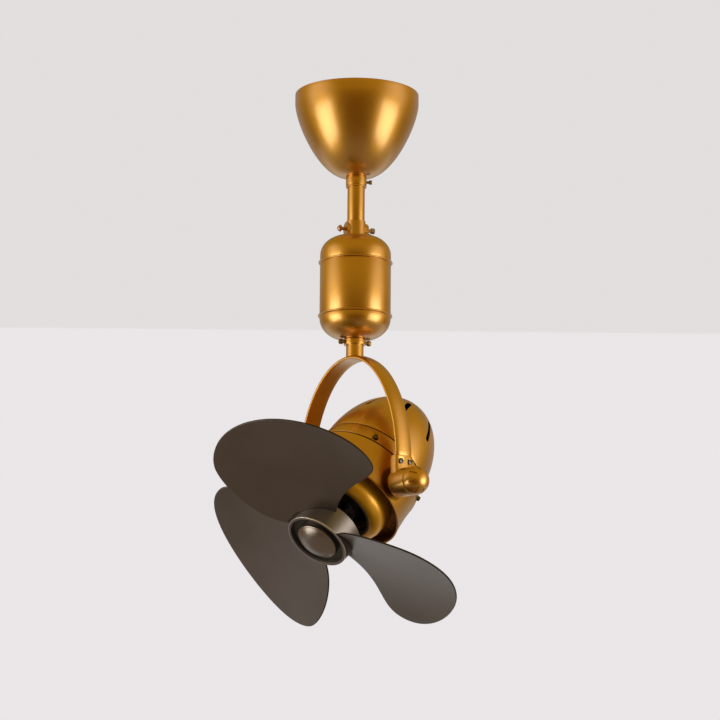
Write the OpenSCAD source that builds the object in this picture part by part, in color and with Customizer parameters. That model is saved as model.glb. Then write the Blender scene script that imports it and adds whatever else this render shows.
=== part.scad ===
// Ceiling-hung orbiting fan with one tilting head.
// Origin: ceiling plane on the downrod's axis, +Z up, so the fan hangs at negative Z.
// The yoke frame has X along the tilt axis. The head frame has +Z along the rotor axis, out of the fan.

/* [Pose in the photograph] */
// Turn of the yoke about the downrod, clockwise from above
yoke_turn = 47.2; // [0:0.1:90]
// Angle of the rotor axis below the horizon
head_tilt = 49.3; // [6:0.1:89]
// Turn of the rotor about its own axis
rotor_turn = 77.5; // [0:0.5:119.5]

/* [Ceiling bracket] */
// Length of the bracket plate
plate_l = 112; // [104:1:118]
// Width of the bracket plate
plate_w = 30; // [28:1:36]
// Thickness of the bracket's steel
bracket_t = 2.5; // [2:0.1:3]
// Distance between the two ceiling screws
screw_pitch = 96; // [90:1:98]
// Diameter of a ceiling screw's hole
screw_hole_d = 5.2; // [4:0.1:6]
// Distance of the hanger bolt's axis below the ceiling
hanger_drop = 24; // [22:0.5:26]
// Diameter of the hanger bolt's shank
hanger_d = 6; // [5:0.1:7]

/* [Canopy] */
// Radius of the canopy's rim
canopy_r = 68.2; // [64:0.1:80]
// Height of the canopy
canopy_h = 93.3; // [90:0.1:96]
// Height of the canopy's straight rim
canopy_rim_h = 10; // [6:0.5:14]
// Thickness of the canopy's sheet
canopy_wall = 1.2; // [1:0.1:2]
// Outer radius of the locking collar
lock_collar_r = 11.4; // [11:0.1:14]
// Height of the locking collar
lock_collar_h = 12; // [10:0.1:14]
// Radius of the locking screw's head
lock_head_r = 2.4; // [2:0.1:3.5]

/* [Downrod] */
// Outer diameter of the downrod
rod_d = 19.05; // [18:0.05:20]
// Wall of the downrod
rod_wall = 1.5; // [1.2:0.1:2.5]
// Top end of the downrod, measured down from the ceiling
rod_top = 12; // [8:0.5:14]
// Top of the rod coupler's socket, measured down from the ceiling
coupler_top = 143.9; // [143.5:0.1:145]
// Radius of the rod coupler's socket
coupler_r = 10.6; // [10.2:0.1:11.4]
// Distance of the coupling bolt's axis below the socket's top
pin_depth = 8.9; // [7.8:0.1:9.6]
// Diameter of the coupling bolt
pin_d = 4; // [3.5:0.1:4.5]
// Distance between the flat faces of the coupler's two bolt bosses
boss_span = 24; // [23:0.1:26]
// Turn of the coupling bolt about the downrod
pin_turn = 20; // [0:1:40]

/* [Gearbox] */
// Length of the rod coupler's socket, from its top to the gearbox's top
socket_l = 17.1; // [16.8:0.1:19]
// Height of the upper cap, down to the middle of the upper bead
upper_cap_h = 29.5; // [29:0.5:31]
// Height of the sleeve, between the middles of the two beads
sleeve_h = 59.5; // [59.5:0.5:62]
// Height of the lower cap, up to the middle of the lower bead
lower_cap_h = 26; // [25.5:0.5:28]
// Outer radius of the gearbox
box_r = 38.8; // [38:0.1:42]
// How far a bead stands out of the gearbox
bead_out = 1.8; // [1:0.1:3]
// Height of a bead
bead_h = 2.4; // [2:0.1:4]
// Sheet thickness of the gearbox
box_wall = 1.2; // [1:0.1:2]

/* [Orbit drive] */
// Module of the gear teeth
gear_module = 1; // [1:0.01:1.02]
// Teeth of the output gear
gear_teeth = 32; // [30:1:33]
// Teeth of the motor pinion
pinion_teeth = 16; // [15:1:16]
// Width of the gear's face
gear_w = 7; // [5:0.5:8]
// Radius of the gear motor's can
can_r = 25; // [22:0.5:25]
// Height of the gear motor's can
can_h = 16.5; // [12:0.5:17]
// Outer radius of the hollow output shaft
out_shaft_r = 7.9; // [7.5:0.1:7.9]
// Bore radius of the hollow output shaft
out_shaft_bore = 5; // [4:0.1:6]

/* [Yoke] */
// Turn of the stem's screws from the tilt axis
stem_screw_turn = 67; // [0:1:90]
// Length of stem between the gearbox's bottom and the arch's outer top
stem_l = 18.3; // [17:0.1:22]
// Height of the arch's outer top above the tilt axis
arch_rise = 147.7; // [145.7:0.1:151.7]
// Distance of the strap's middle outside the knuckle barrel's inner face
arch_step = 9.3; // [9.1:0.1:9.7]
// Height of the arch's elliptical part, to the middle of the strap
arch_h = 124; // [122:0.5:126]
// Width of the strap
strap_w = 22; // [20:0.1:24]
// Thickness of the strap in the middle
strap_t = 4.6; // [4:0.1:5]
// Thickness of the strap's edges
strap_edge = 1.6; // [1.2:0.1:2]
// Outer radius of the knuckle barrel and of its cap nut
barrel_r = 15.3; // [14:0.1:16]
// Gap between the motor housing's waist and the knuckle barrel
barrel_gap = 7.9; // [7.6:0.1:8.6]
// Length of the knuckle barrel
barrel_l = 23.2; // [21:0.1:25.5]
// Distance of the socket block's top above the tilt axis
socket_rise = 28.4; // [27:0.1:30]
// How far the knuckle's block stands past the strap's edges
socket_wall = 1.3; // [1:0.1:1.6]
// Diameter of the tilt bolt's shank
tilt_bolt_d = 8; // [7:0.1:9]

/* [Motor housing] */
// Radius of the rear shell's base
dome_r = 59.8; // [59:0.1:60.8]
// How far the front shell's waist stands outside the rear shell's base
waist_step = 1.6; // [1.2:0.1:2]
// How far the front shell's lip flares out from its waist
lip_flare = 3; // [2.6:0.1:4.6]
// Distance of the lip in front of the tilt axis
lip_z = 18.7; // [18:0.1:20]
// Distance of the band's front edge behind the tilt axis
seam_back = 25; // [25:0.1:26]
// Distance of the rear shell's base behind the tilt axis
dome_back = 42.3; // [42:0.1:44]
// Depth of the rear shell's dome
dome_h = 88.5; // [84:0.5:89]
// Wall of the housing's shells
shell_wall = 2; // [1.6:0.1:2.4]
// Number of vent slots
vent_count = 8; // [6:1:10]
// Width of a vent slot
vent_w = 4; // [3:0.1:5]
// Length of a vent slot along the rotor axis
vent_l = 28; // [20:0.5:30]
// Base radius of the front collar
collar_r = 49; // [48:0.1:51]
// Radius of the front collar's nose
nose_r = 38.4; // [38:0.1:40]
// Distance of the front collar's nose in front of the tilt axis
nose_z = 33.4; // [33:0.1:35]

/* [Fan motor] */
// Outer radius of the stator's core
stator_r = 42; // [40:0.5:44]
// Bore radius of the stator
stator_bore = 22.2; // [21:0.1:23]
// Number of stator slots
stator_slots = 12; // [8:2:16]
// Gap between the rotor and the stator
air_gap = 0.5; // [0.3:0.05:0.8]
// Length of the stator's core
stator_l = 28; // [24:0.5:30]
// Diameter of the motor shaft
shaft_d = 10; // [8:0.1:10.5]
// Outer radius of the shaft bearings
bearing_r = 14; // [12:0.5:15]
// Width of the shaft bearings
bearing_w = 8; // [7:0.5:9]

/* [Rotor hub] */
// Radius of the hub's rear rim
hub_rear_r = 38; // [37.5:0.1:39]
// Radius of the hub's front rim
hub_front_r = 34.7; // [34:0.1:35.5]
// Distance of the hub's rear rim in front of the tilt axis
hub_rear_z = 54.3; // [54:0.1:56]
// Distance of the hub's front face in front of the tilt axis
hub_front_z = 80.5; // [80:0.1:82]
// Wall of the hub
hub_wall = 2; // [1.6:0.1:2.4]
// Radius of the domed centre cap
cap_r = 22.9; // [20:0.1:24]
// Depth of the ring round the centre cap
ring_depth = 4.2; // [3:0.1:4.6]
// Height of the centre cap's straight side above the hub's front face
cap_side = 2; // [1:0.1:4]
// Height of the centre cap's dome above the hub's front face
cap_h = 8.8; // [6.6:0.1:9.6]

/* [Blades] */
// Number of blades
blade_count = 3; // [3:1:3]
// Radius of the blade tips
blade_tip = 161; // [150:1:165]
// Half-width of a blade on its leading side
lead_w = 78; // [70:1:82]
// Half-width of a blade on its trailing side
trail_w = 102; // [90:1:104]
// Radius at which the leading side is widest
lead_x = 109; // [104:1:114]
// Radius at which the trailing side is widest
trail_x = 94; // [90:1:98]
// Thickness of a blade
blade_t = 2; // [1.5:0.1:2.4]
// Pitch of a blade
blade_pitch = 15; // [12:0.5:16]
// Radius to which a blade is bent
bend_r = 365; // [340:5:420]
// Turn of the bend's axis from the blade's middle line
bend_turn = 21; // [18:1:24]
// Distance of a blade's root in front of the tilt axis
blade_z = 66.5; // [66:0.1:67.5]
// Width of the tab that goes through the hub's wall
tab_w = 26; // [20:1:28]

/* [Hidden] */

gold = "darkgoldenrod";
steel = "silver";
pewter = "dimgray";
bronze = "#4a3d34";
black = "#1c1a18";

// Facets of a full circle
$fn = 96;
// Gap between pieces that slide past each other by hand
slip = 0.3;
// Gap between a shaft and its bearing
running = 0.05;
// Gap between pieces that are fitted together
fit_gap = 0.1;
// Overlap of a cutter past the face that it cuts
past = 1;
// Length of a cutter that goes through all in its way, and how far before it the cutter starts
reach = 80;
lead_in = 20;

// Drops below the ceiling, each from the piece above it
pin_drop = coupler_top + pin_depth;
box_top = coupler_top + socket_l;
upper_bead_drop = box_top + upper_cap_h;
lower_bead_drop = upper_bead_drop + sleeve_h;
box_bottom = lower_bead_drop + lower_cap_h;
arch_top = box_bottom + stem_l;
tilt_drop = arch_top + arch_rise;

// Distances from the head's middle, each from the piece inside it
waist_r = dome_r + waist_step;
lip_r = waist_r + lip_flare;
barrel_in = waist_r + barrel_gap;
barrel_out = barrel_in + barrel_l;
arch_r = barrel_in + arch_step;

rod_r = rod_d/2;
plate_corner = 6;
hanger_z = -hanger_drop;
pin_z = -pin_drop;
ear_in = rod_r + 2.5;
ear_w = 26;

// A ring or tube along Z
module tube(outer, inner, height) {
    difference() {
        cylinder(r = outer, h = height);
        translate([0, 0, -past]) cylinder(r = inner, h = height + 2*past);
    }
}

// A bar along X from one coordinate to another
module bar_x(radius, from, to) {
    translate([from, 0, 0]) rotate([0, 90, 0]) cylinder(r = radius, h = to - from);
}

// Points of an ellipse between two angles, with its centre at c
function ellipse_arc(c, rx, ry, from, to, steps) =
    [for (i = [0:steps]) let (a = from + (to - from)*i/steps) [c[0] + rx*cos(a), c[1] + ry*sin(a)]];

module in_yoke() {
    rotate([0, 0, -yoke_turn]) children();
}

module in_head() {
    translate([0, 0, -tilt_drop]) rotate([90 + head_tilt, 0, -yoke_turn]) children();
}

// Ceiling bracket and hanger

module ceiling_bracket() {
    color(steel) difference() {
        union() {
            translate([0, 0, -bracket_t]) linear_extrude(bracket_t) bracket_outline();
            for (side = [0, 1]) mirror([0, side, 0]) hanger_ear();
        }
        for (side = [-1, 1]) translate([side*screw_pitch/2, 0, -bracket_t - past])
            cylinder(d = screw_hole_d, h = bracket_t + 2*past, $fn = 48);
        translate([0, 0, -bracket_t - past]) cylinder(r = rod_r, h = bracket_t + 2*past);
        translate([0, 0, hanger_z]) rotate([90, 0, 0])
            cylinder(d = hanger_d + 2*fit_gap, h = 4*ear_in, center = true, $fn = 48);
    }
}

module bracket_outline() {
    corner_x = plate_l/2 - plate_corner;
    corner_y = plate_w/2 - plate_corner;
    square([2*corner_x, plate_w], center = true);
    square([plate_l, 2*corner_y], center = true);
    for (x = [-corner_x, corner_x]) for (y = [-corner_y, corner_y])
        translate([x, y]) circle(r = plate_corner, $fn = 32);
}

module hanger_ear() {
    translate([0, ear_in + bracket_t, 0]) rotate([90, 0, 0]) linear_extrude(bracket_t) {
        translate([-ear_w/2, hanger_z]) square([ear_w, hanger_drop]);
        translate([0, hanger_z]) circle(d = ear_w);
    }
}

hanger_head_r = 5;
hanger_head_h = 4;
hanger_reach = ear_in + bracket_t;

module hanger_bolt() {
    color(steel) translate([0, 0, hanger_z]) rotate([-90, 0, 0]) {
        translate([0, 0, -hanger_reach - hanger_head_h])
            cylinder(r = hanger_head_r, h = hanger_head_h, $fn = 6);
        translate([0, 0, -hanger_reach]) cylinder(d = hanger_d, h = 2*hanger_reach + 9, $fn = 48);
    }
}

// Nuts of the hanger bolt and of the coupling bolt
module rod_nuts() {
    nut_t = 5;
    color(steel) {
        translate([0, hanger_reach, hanger_z]) rotate([-90, 0, 0]) difference() {
            cylinder(r = hanger_head_r + 0.8, h = nut_t, $fn = 6);
            translate([0, 0, -past]) cylinder(d = hanger_d + fit_gap, h = nut_t + 2*past, $fn = 48);
        }
        along_pin() translate([boss_span/2 + pin_nut_gap, 0, 0]) rotate([0, 90, 0]) difference() {
            cylinder(r = 3.3, h = pin_nut_t, $fn = 6);
            translate([0, 0, -past]) cylinder(d = pin_d + fit_gap, h = pin_nut_t + 2*past, $fn = 48);
        }
    }
}

// Rubber bushes that keep the rod from rattling between the ears
module rod_bushes() {
    bush_r = 7.5;
    color(black) for (side = [-1, 1]) difference() {
        translate([0, side*(ear_in - fit_gap), hanger_z]) rotate([side*90, 0, 0])
            cylinder(r = bush_r, h = ear_in - fit_gap - rod_r/2);
        translate([0, 0, hanger_z - 2*bush_r]) cylinder(r = rod_r + fit_gap, h = 4*bush_r);
        translate([0, 0, hanger_z]) rotate([90, 0, 0])
            cylinder(d = hanger_d + 2*fit_gap, h = 4*ear_in, center = true, $fn = 48);
    }
}

module terminal_block() {
    poles = 3;
    pole_w = 8;
    block_h = 11;
    block_l = 12;
    color(black) translate([screw_pitch/4 + 1, 0, -bracket_t - block_h]) difference() {
        translate([-block_l/2, -poles*pole_w/2, 0]) cube([block_l, poles*pole_w, block_h]);
        for (i = [0:poles - 1]) translate([0, (i - (poles - 1)/2)*pole_w, block_h/2]) {
            translate([-block_l, 0, 0]) rotate([0, 90, 0]) cylinder(r = 2, h = 2*block_l, $fn = 24);
            translate([0, 0, -block_h]) cylinder(r = 1.6, h = block_h, $fn = 24);
        }
    }
}

// Canopy and the collar that locks it on the rod

neck_z = -canopy_h;
collar_z = neck_z - lock_collar_h;
rod_hole_r = rod_r + slip;
shoulder_pull = 20;
neck_pull = 30;

// Curve of the bell from its rim to its neck, shrunk inward by a wall
function bell(wall) = let (
    rim = [canopy_r - wall, -canopy_rim_h],
    neck = [lock_collar_r, neck_z + wall])
    concat(curve(rim, rim - [0, shoulder_pull], neck + [neck_pull, 0], neck), [neck]);

module canopy() {
    inside = bell(canopy_wall);
    color(gold) rotate_extrude() polygon(concat(
        [[canopy_r, 0]], bell(0), [[rod_hole_r, neck_z], [rod_hole_r, neck_z + canopy_wall]],
        [for (i = [len(inside) - 1:-1:0]) inside[i]], [[canopy_r - canopy_wall, 0]]));
}

lock_screw_z = neck_z - lock_collar_h/2;
lock_screw_r = 1.6;
lock_head_out = 2.5;
lock_head_t = 3.6;
groove_h = 1;
groove_deep = 0.7;

module canopy_collar() {
    color(gold) difference() {
        translate([0, 0, collar_z]) tube(lock_collar_r, rod_hole_r, lock_collar_h - fit_gap/2);
        translate([0, 0, collar_z + groove_h])
            tube(lock_collar_r + past, lock_collar_r - groove_deep, groove_h);
        translate([0, 0, lock_screw_z]) bar_x(lock_screw_r + fit_gap/2, 0, lock_collar_r + past, $fn = 32);
    }
}

module canopy_collar_screw() {
    head_x = lock_collar_r + lock_head_out;
    color(steel) translate([0, 0, lock_screw_z]) {
        bar_x(lock_screw_r, rod_hole_r - slip/2, head_x, $fn = 32);
        bar_x(lock_head_r, head_x, head_x + lock_head_t, $fn = 32);
    }
}

// Downrod and its coupler

rod_bottom = pin_drop + 4;

module downrod() {
    color(gold) difference() {
        translate([0, 0, -rod_bottom]) tube(rod_r, rod_r - rod_wall, rod_bottom - rod_top);
        translate([0, 0, hanger_z]) rotate([90, 0, 0])
            cylinder(d = hanger_d + 2*fit_gap, h = 4*rod_r, center = true, $fn = 48);
        along_pin() bar_x(pin_d/2 + fit_gap, -2*rod_r, 2*rod_r, $fn = 48);
    }
}

pin_boss_r = 7.2;
neck_bolt_r = 8;
wire_bore = 5;
coupler_seat = -box_top;
top_plate_z = -upper_bead_drop - bead_h/2 - 1.3;
plate_t = 2.5;
coupler_nut_h = 4.5;

module along_pin() {
    translate([0, 0, pin_z]) rotate([0, 0, pin_turn]) children();
}

// Socket for the rod, two flat bosses for the bolt, and a hollow threaded neck below
module rod_coupler() {
    foot = pin_z - coupler_seat - 0.6;
    color(gold) difference() {
        union() {
            translate([0, 0, coupler_seat]) cylinder(r = coupler_r, h = -coupler_top - coupler_seat);
            along_pin() {
                bar_x(pin_boss_r, -boss_span/2, boss_span/2);
                translate([-boss_span/2, 0.9 - pin_boss_r, -foot])
                    cube([boss_span, 2*pin_boss_r - 1.8, foot]);
            }
            translate([0, 0, top_plate_z - plate_t - coupler_nut_h])
                cylinder(r = neck_bolt_r, h = coupler_seat - top_plate_z + plate_t + coupler_nut_h + past);
        }
        translate([0, 0, -rod_bottom]) cylinder(r = rod_r + fit_gap, h = rod_bottom - coupler_top + 5);
        translate([0, 0, top_plate_z - lead_in]) cylinder(r = wire_bore, h = reach);
        along_pin() bar_x(pin_d/2 + fit_gap, -boss_span, boss_span, $fn = 48);
    }
}

pin_head_r = 3.9;
pin_head_t = 3.2;
pin_head_gap = 5.6;
pin_nut_gap = 5.4;
pin_nut_t = 4;
clip_wire = 0.5;
clip_x = boss_span/2 + 2.7;

// A domed head on the left, and a cross hole for the clip on the right
module coupling_bolt() {
    head_x = boss_span/2 + pin_head_gap;
    color("rosybrown") along_pin() difference() {
        union() {
            bar_x(pin_d/2, -head_x, boss_span/2 + pin_nut_gap + pin_nut_t + 0.4, $fn = 48);
            translate([-head_x, 0, 0]) rotate([0, -90, 0])
                cylinder(r1 = pin_head_r, r2 = 2.4, h = pin_head_t);
        }
        translate([clip_x, 0, -10]) cylinder(r = clip_wire + fit_gap, h = 20, $fn = 24);
    }
}

// Spring clip: a straight leg through the bolt, a round eye and a short tail
module bolt_clip() {
    eye_r = 1.8;
    eye_x = clip_x + 0.6*eye_r;
    eye_z = coupler_seat - pin_z + eye_r + clip_wire + 0.4;
    color(steel) along_pin() {
        translate([clip_x, 0, eye_z + 0.8*eye_r]) cylinder(r = clip_wire, h = pin_d/2 + 2 - eye_z, $fn = 24);
        translate([eye_x, 0, eye_z]) rotate([90, 0, 0]) rotate_extrude($fn = 48)
            translate([eye_r, 0]) circle(r = clip_wire, $fn = 16);
        translate([eye_x + eye_r, 0, eye_z]) rotate([0, 100, 0])
            cylinder(r = 0.9*clip_wire, h = 4.5, $fn = 24);
    }
}

// Gearbox casing

lip_in = box_r - box_wall - fit_gap;
lip_t = 1.1;
lip_reach = 4;
upper_corner = [25, 21];
lower_corner = [28, 23.5];
cap_steps = 16;

module cap_profile(corner, edge_z, hole_r) {
    flat_r = box_r - corner[0];
    outside = ellipse_arc([flat_r, -corner[1]], corner[0], corner[1], 90, 0, cap_steps);
    inside = ellipse_arc([flat_r, -corner[1]], corner[0] - box_wall, corner[1] - box_wall, 0, 90, cap_steps);
    polygon(concat([[hole_r, 0]], outside, [[box_r, edge_z], [box_r - box_wall, edge_z]], inside,
        [[hole_r, -box_wall]]));
}

module gearbox_upper_cap() {
    edge_z = box_top - upper_bead_drop + bead_h/2;
    color(gold) translate([0, 0, -box_top - fit_gap/2]) rotate_extrude()
        cap_profile(upper_corner, edge_z, neck_bolt_r + fit_gap);
}

module gearbox_lower_cap() {
    edge_z = lower_bead_drop - box_bottom + bead_h/2;
    color(gold) translate([0, 0, -box_bottom]) mirror([0, 0, 1]) rotate_extrude()
        cap_profile(lower_corner, edge_z, out_shaft_r + 2*slip);
}

// A rolled bead with an inner lip that joins a cap to the sleeve
module bead_ring() {
    bead_steps = 10;
    color(gold) rotate_extrude() polygon(concat(
        [[lip_in - lip_t, -lip_reach], [lip_in, -lip_reach], [lip_in, -bead_h/2 + fit_gap/2],
         [box_r, -bead_h/2 + fit_gap/2]],
        ellipse_arc([box_r, 0], bead_out, bead_h/2 - fit_gap/2, -90, 90, bead_steps),
        [[lip_in, bead_h/2 - fit_gap/2], [lip_in, lip_reach], [lip_in - lip_t, lip_reach]]));
}

module gearbox_beads() {
    for (drop = [upper_bead_drop, lower_bead_drop]) translate([0, 0, -drop]) bead_ring();
}

module gearbox_sleeve() {
    bottom = -lower_bead_drop + bead_h/2;
    color(gold) translate([0, 0, bottom])
        tube(box_r, box_r - box_wall, lower_bead_drop - upper_bead_drop - bead_h);
}

// Gearbox frame

plate_r = lip_in - lip_t - fit_gap;
pillar_r = 3;
pillar_orbit = plate_r - pillar_r - 2;
pillar_angles = [90, 180, 270];
can_top_gap = 2;
can_z = top_plate_z - plate_t - coupler_nut_h - can_top_gap - can_h;
motor_plate_z = can_z;
bearing_plate_z = -lower_bead_drop - bead_h/2 - 0.3;

module gearbox_plate(hole_r) {
    difference() {
        translate([0, 0, -plate_t]) cylinder(r = plate_r, h = plate_t);
        translate([0, 0, -plate_t - past]) cylinder(r = hole_r, h = plate_t + 2*past);
    }
}

// Plate with a spacer tube, clamped against the upper cap by the coupler's nut
module gearbox_top_plate() {
    spacer_h = -box_top - box_wall - fit_gap - top_plate_z;
    color(steel) translate([0, 0, top_plate_z]) {
        gearbox_plate(neck_bolt_r + fit_gap);
        translate([0, 0, -past]) tube(neck_bolt_r + 3, neck_bolt_r + fit_gap, spacer_h + past);
    }
}

module coupler_nut() {
    color(steel) translate([0, 0, top_plate_z - plate_t - coupler_nut_h]) difference() {
        cylinder(r = neck_bolt_r + 5, h = coupler_nut_h, $fn = 6);
        translate([0, 0, -past]) cylinder(r = neck_bolt_r + fit_gap/2, h = coupler_nut_h + 2*past);
    }
}

module gearbox_pillars() {
    color(steel) for (a = pillar_angles) rotate([0, 0, a]) translate([pillar_orbit, 0, bearing_plate_z])
        cylinder(r = pillar_r, h = top_plate_z - plate_t - bearing_plate_z, $fn = 32);
}

gear_centre = gear_module*(gear_teeth + pinion_teeth)/2;
can_x = plate_r - can_r - 0.3;
bush_r = out_shaft_r + 3.2;
bush_drop = 5.5;

module motor_plate() {
    color(steel) difference() {
        translate([0, 0, motor_plate_z]) gearbox_plate(bush_r + fit_gap);
        translate([gear_centre, 0, motor_plate_z - plate_t - past])
            cylinder(r = 5, h = plate_t + 2*past, $fn = 32);
        for (a = pillar_angles) rotate([0, 0, a]) translate([pillar_orbit, 0, motor_plate_z - plate_t - past])
            cylinder(r = pillar_r + fit_gap, h = plate_t + 2*past, $fn = 32);
    }
}

// Flanged bronze bush that guides the top of the output shaft
module upper_bush() {
    color("peru") translate([0, 0, motor_plate_z - plate_t - bush_drop]) {
        tube(bush_r, out_shaft_r + running, bush_drop + plate_t - fit_gap);
        translate([0, 0, bush_drop - 1.5]) tube(bush_r + 2, bush_r - past, 1.5);
    }
}

bearing_bore = out_shaft_r + running;
out_bearing_r = 17;
out_bearing_h = 8.6;
cup_wall = 2.3;
cup_lip = 1.5;
out_bearing_z = bearing_plate_z - out_bearing_h;

module bearing_plate() {
    cup_depth = out_bearing_h + fit_gap + cup_lip;
    color(steel) {
        translate([0, 0, bearing_plate_z]) gearbox_plate(out_bearing_r + fit_gap);
        translate([0, 0, bearing_plate_z - cup_depth]) difference() {
            cylinder(r = out_bearing_r + cup_wall, h = cup_depth);
            translate([0, 0, cup_lip]) cylinder(r = out_bearing_r + fit_gap, h = cup_depth);
            translate([0, 0, -past]) cylinder(r = out_bearing_r - 4, h = cup_depth);
        }
    }
}

module output_bearing() {
    color(steel) translate([0, 0, out_bearing_z]) difference() {
        tube(out_bearing_r, bearing_bore, out_bearing_h);
        translate([0, 0, out_bearing_h - 1]) tube(out_bearing_r - 2, bearing_bore + 2, 1 + past);
    }
}

// Orbit drive

shaft_stub_r = 2.5;
gear_z = motor_plate_z - plate_t - bush_drop - 0.6 - gear_w;
flank_steps = 5;
pressure_angle = 20;
backlash = 0.12;
addendum = 0.9*gear_module;
dedendum = 1.25*gear_module;

function involute_point(base, radius) =
    let (turn = sqrt(pow(radius/base, 2) - 1))
    [radius, turn*180/PI - atan(turn)];

// One tooth's flank as radius and angle from the tooth's middle
function flank(teeth) =
    let (pitch_r = gear_module*teeth/2,
         base = pitch_r*cos(pressure_angle),
         low = max(base, pitch_r - dedendum),
         high = pitch_r + addendum,
         at_pitch = involute_point(base, pitch_r)[1],
         half = 90/teeth - backlash/pitch_r*90/PI)
    [for (i = [0:flank_steps]) let (pt = involute_point(base, low + (high - low)*i/flank_steps))
        [pt[0], half + at_pitch - pt[1]]];

module gear_outline(teeth) {
    side = flank(teeth);
    root = gear_module*teeth/2 - dedendum;
    last = len(side) - 1;
    polygon([for (i = [0:teeth - 1]) let (mid = 360*i/teeth)
        each concat(
            [root*[cos(mid - side[0][1] - 1), sin(mid - side[0][1] - 1)]],
            [for (j = [0:last]) side[j][0]*[cos(mid - side[j][1]), sin(mid - side[j][1])]],
            [for (j = [last:-1:0]) side[j][0]*[cos(mid + side[j][1]), sin(mid + side[j][1])]],
            [root*[cos(mid + side[0][1] + 1), sin(mid + side[0][1] + 1)]])]);
}

// Geared synchronous motor, fixed above its plate
module orbit_motor() {
    color(steel) translate([0, 0, can_z]) difference() {
        union() {
            translate([can_x, 0, 0]) cylinder(r = can_r, h = can_h);
            translate([gear_centre, 0, -plate_t]) cylinder(r = 4.6, h = plate_t + past, $fn = 48);
        }
        translate([gear_centre, 0, -plate_t - past])
            cylinder(r = shaft_stub_r + running, h = plate_t + past + 8, $fn = 32);
    }
}

module orbit_pinion() {
    color("peru") translate([gear_centre, 0, gear_z]) {
        rotate([0, 0, 180 - 180/pinion_teeth]) linear_extrude(gear_w) gear_outline(pinion_teeth);
        cylinder(r = shaft_stub_r, h = motor_plate_z + 7 - gear_z, $fn = 32);
    }
}

module orbit_gear() {
    color("peru") translate([0, 0, gear_z]) difference() {
        union() {
            linear_extrude(gear_w) gear_outline(gear_teeth);
            translate([0, 0, -gear_hub]) cylinder(r = out_shaft_r + 3, h = gear_hub + past);
        }
        translate([0, 0, -gear_hub - past])
            cylinder(r = out_shaft_r + fit_gap/2, h = gear_w + gear_hub + 2*past);
    }
}

gear_hub = 1.2;
shaft_top = motor_plate_z - plate_t/2;
collar_top = -box_bottom - 0.4;
stem_collar_h = 5.8;
shaft_bottom = collar_top - stem_collar_h - 7;

module output_shaft() {
    color(steel) translate([0, 0, shaft_bottom]) tube(out_shaft_r, out_shaft_bore, shaft_top - shaft_bottom);
}

clip_rise = 0.3;
clip_t = 1.3;

module shaft_clip() {
    color(steel) translate([0, 0, bearing_plate_z + clip_rise]) difference() {
        tube(out_shaft_r + 2.6, out_shaft_r + fit_gap/2, clip_t);
        translate([0, -1.5, -past]) cube([20, 3, clip_t + 2*past]);
    }
}

drum_r = 11.4;
drum_top = gear_z - gear_hub - 0.3;
drum_bottom = bearing_plate_z + clip_rise + clip_t + 0.3;
drum_h = drum_top - drum_bottom;
ring_count = 3;
ring_out = 0.8;
ring_h = drum_h/(2*ring_count + 1);

// Insulating drum with its brass rings, turning with the shaft
module slip_rings() {
    color("goldenrod") translate([0, 0, drum_bottom]) {
        tube(drum_r, out_shaft_r + fit_gap/2, drum_h);
        for (i = [0:ring_count - 1]) translate([0, 0, (2*i + 1)*ring_h])
            tube(drum_r + ring_out, drum_r - past, ring_h);
    }
}

// Brush holder on the bearing plate, with one brush to each ring
module brush_block() {
    holder_in = drum_r + ring_out + 2;
    holder_l = 8;
    color(black) {
        translate([-holder_in - holder_l, -6, bearing_plate_z])
            cube([holder_l, 12, drum_top - bearing_plate_z - 1]);
        for (i = [0:ring_count - 1]) translate([0, 0, drum_bottom + (2*i + 1.5)*ring_h]) difference() {
            translate([-holder_in - past, -2, -ring_h*0.4]) cube([holder_in, 4, ring_h*0.8]);
            translate([0, 0, -ring_h]) cylinder(r = drum_r + ring_out + slip, h = 2*ring_h);
        }
    }
}

// Stem, its collar and the yoke

stem_bore = out_shaft_r + fit_gap/2;
stem_collar_r = 12;
stem_screw_z = collar_top - stem_collar_h/2;
stem_screw_r = 1.9;
stem_head_r = 2.9;
stem_head_t = 4.2;
stem_head_x = stem_collar_r + 2.2;

module along_stem_screws() {
    in_yoke() translate([0, 0, stem_screw_z]) rotate([0, 0, stem_screw_turn]) children();
}

// Tube between the gearbox and the arch, saddled on the strap
module stem() {
    saddle = 3;
    color(gold) difference() {
        translate([0, 0, -arch_top - saddle]) tube(rod_r, stem_bore, arch_top + saddle + collar_top);
        along_stem_screws() bar_x(stem_screw_r + fit_gap/2, -2*rod_r, 2*rod_r, $fn = 32);
        in_yoke() strap_solid(fit_gap);
    }
}

module stem_collar() {
    color(gold) difference() {
        translate([0, 0, collar_top - stem_collar_h])
            tube(stem_collar_r, rod_r + fit_gap/2, stem_collar_h);
        along_stem_screws() bar_x(stem_screw_r + fit_gap/2, -2*stem_collar_r, 2*stem_collar_r, $fn = 32);
    }
}

module stem_screws() {
    color("goldenrod") along_stem_screws() for (side = [0, 1]) mirror([side, 0, 0]) {
        bar_x(stem_screw_r, out_shaft_r + fit_gap/2, stem_head_x, $fn = 32);
        bar_x(stem_head_r, stem_head_x, stem_head_x + stem_head_t, $fn = 32);
    }
}

arch_z = -arch_top - strap_t/2 - arch_h;
socket_top = -tilt_drop + socket_rise;
arch_steps = 44;
crown_steps = 8;

// Cross-section of the strap: flat inside, crowned outside; grow widens it all round
function strap_section(grow) =
    let (half = strap_w/2 + grow, inner = -strap_t/2 - grow, edge = inner + strap_edge + 2*grow,
         crown = strap_t/2 + grow)
    concat([[inner, half], [inner, -half]],
        [for (i = [0:crown_steps]) let (a = -90 + 180*i/crown_steps)
            [edge + (crown - edge)*cos(a), half*sin(a)]]);

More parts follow.
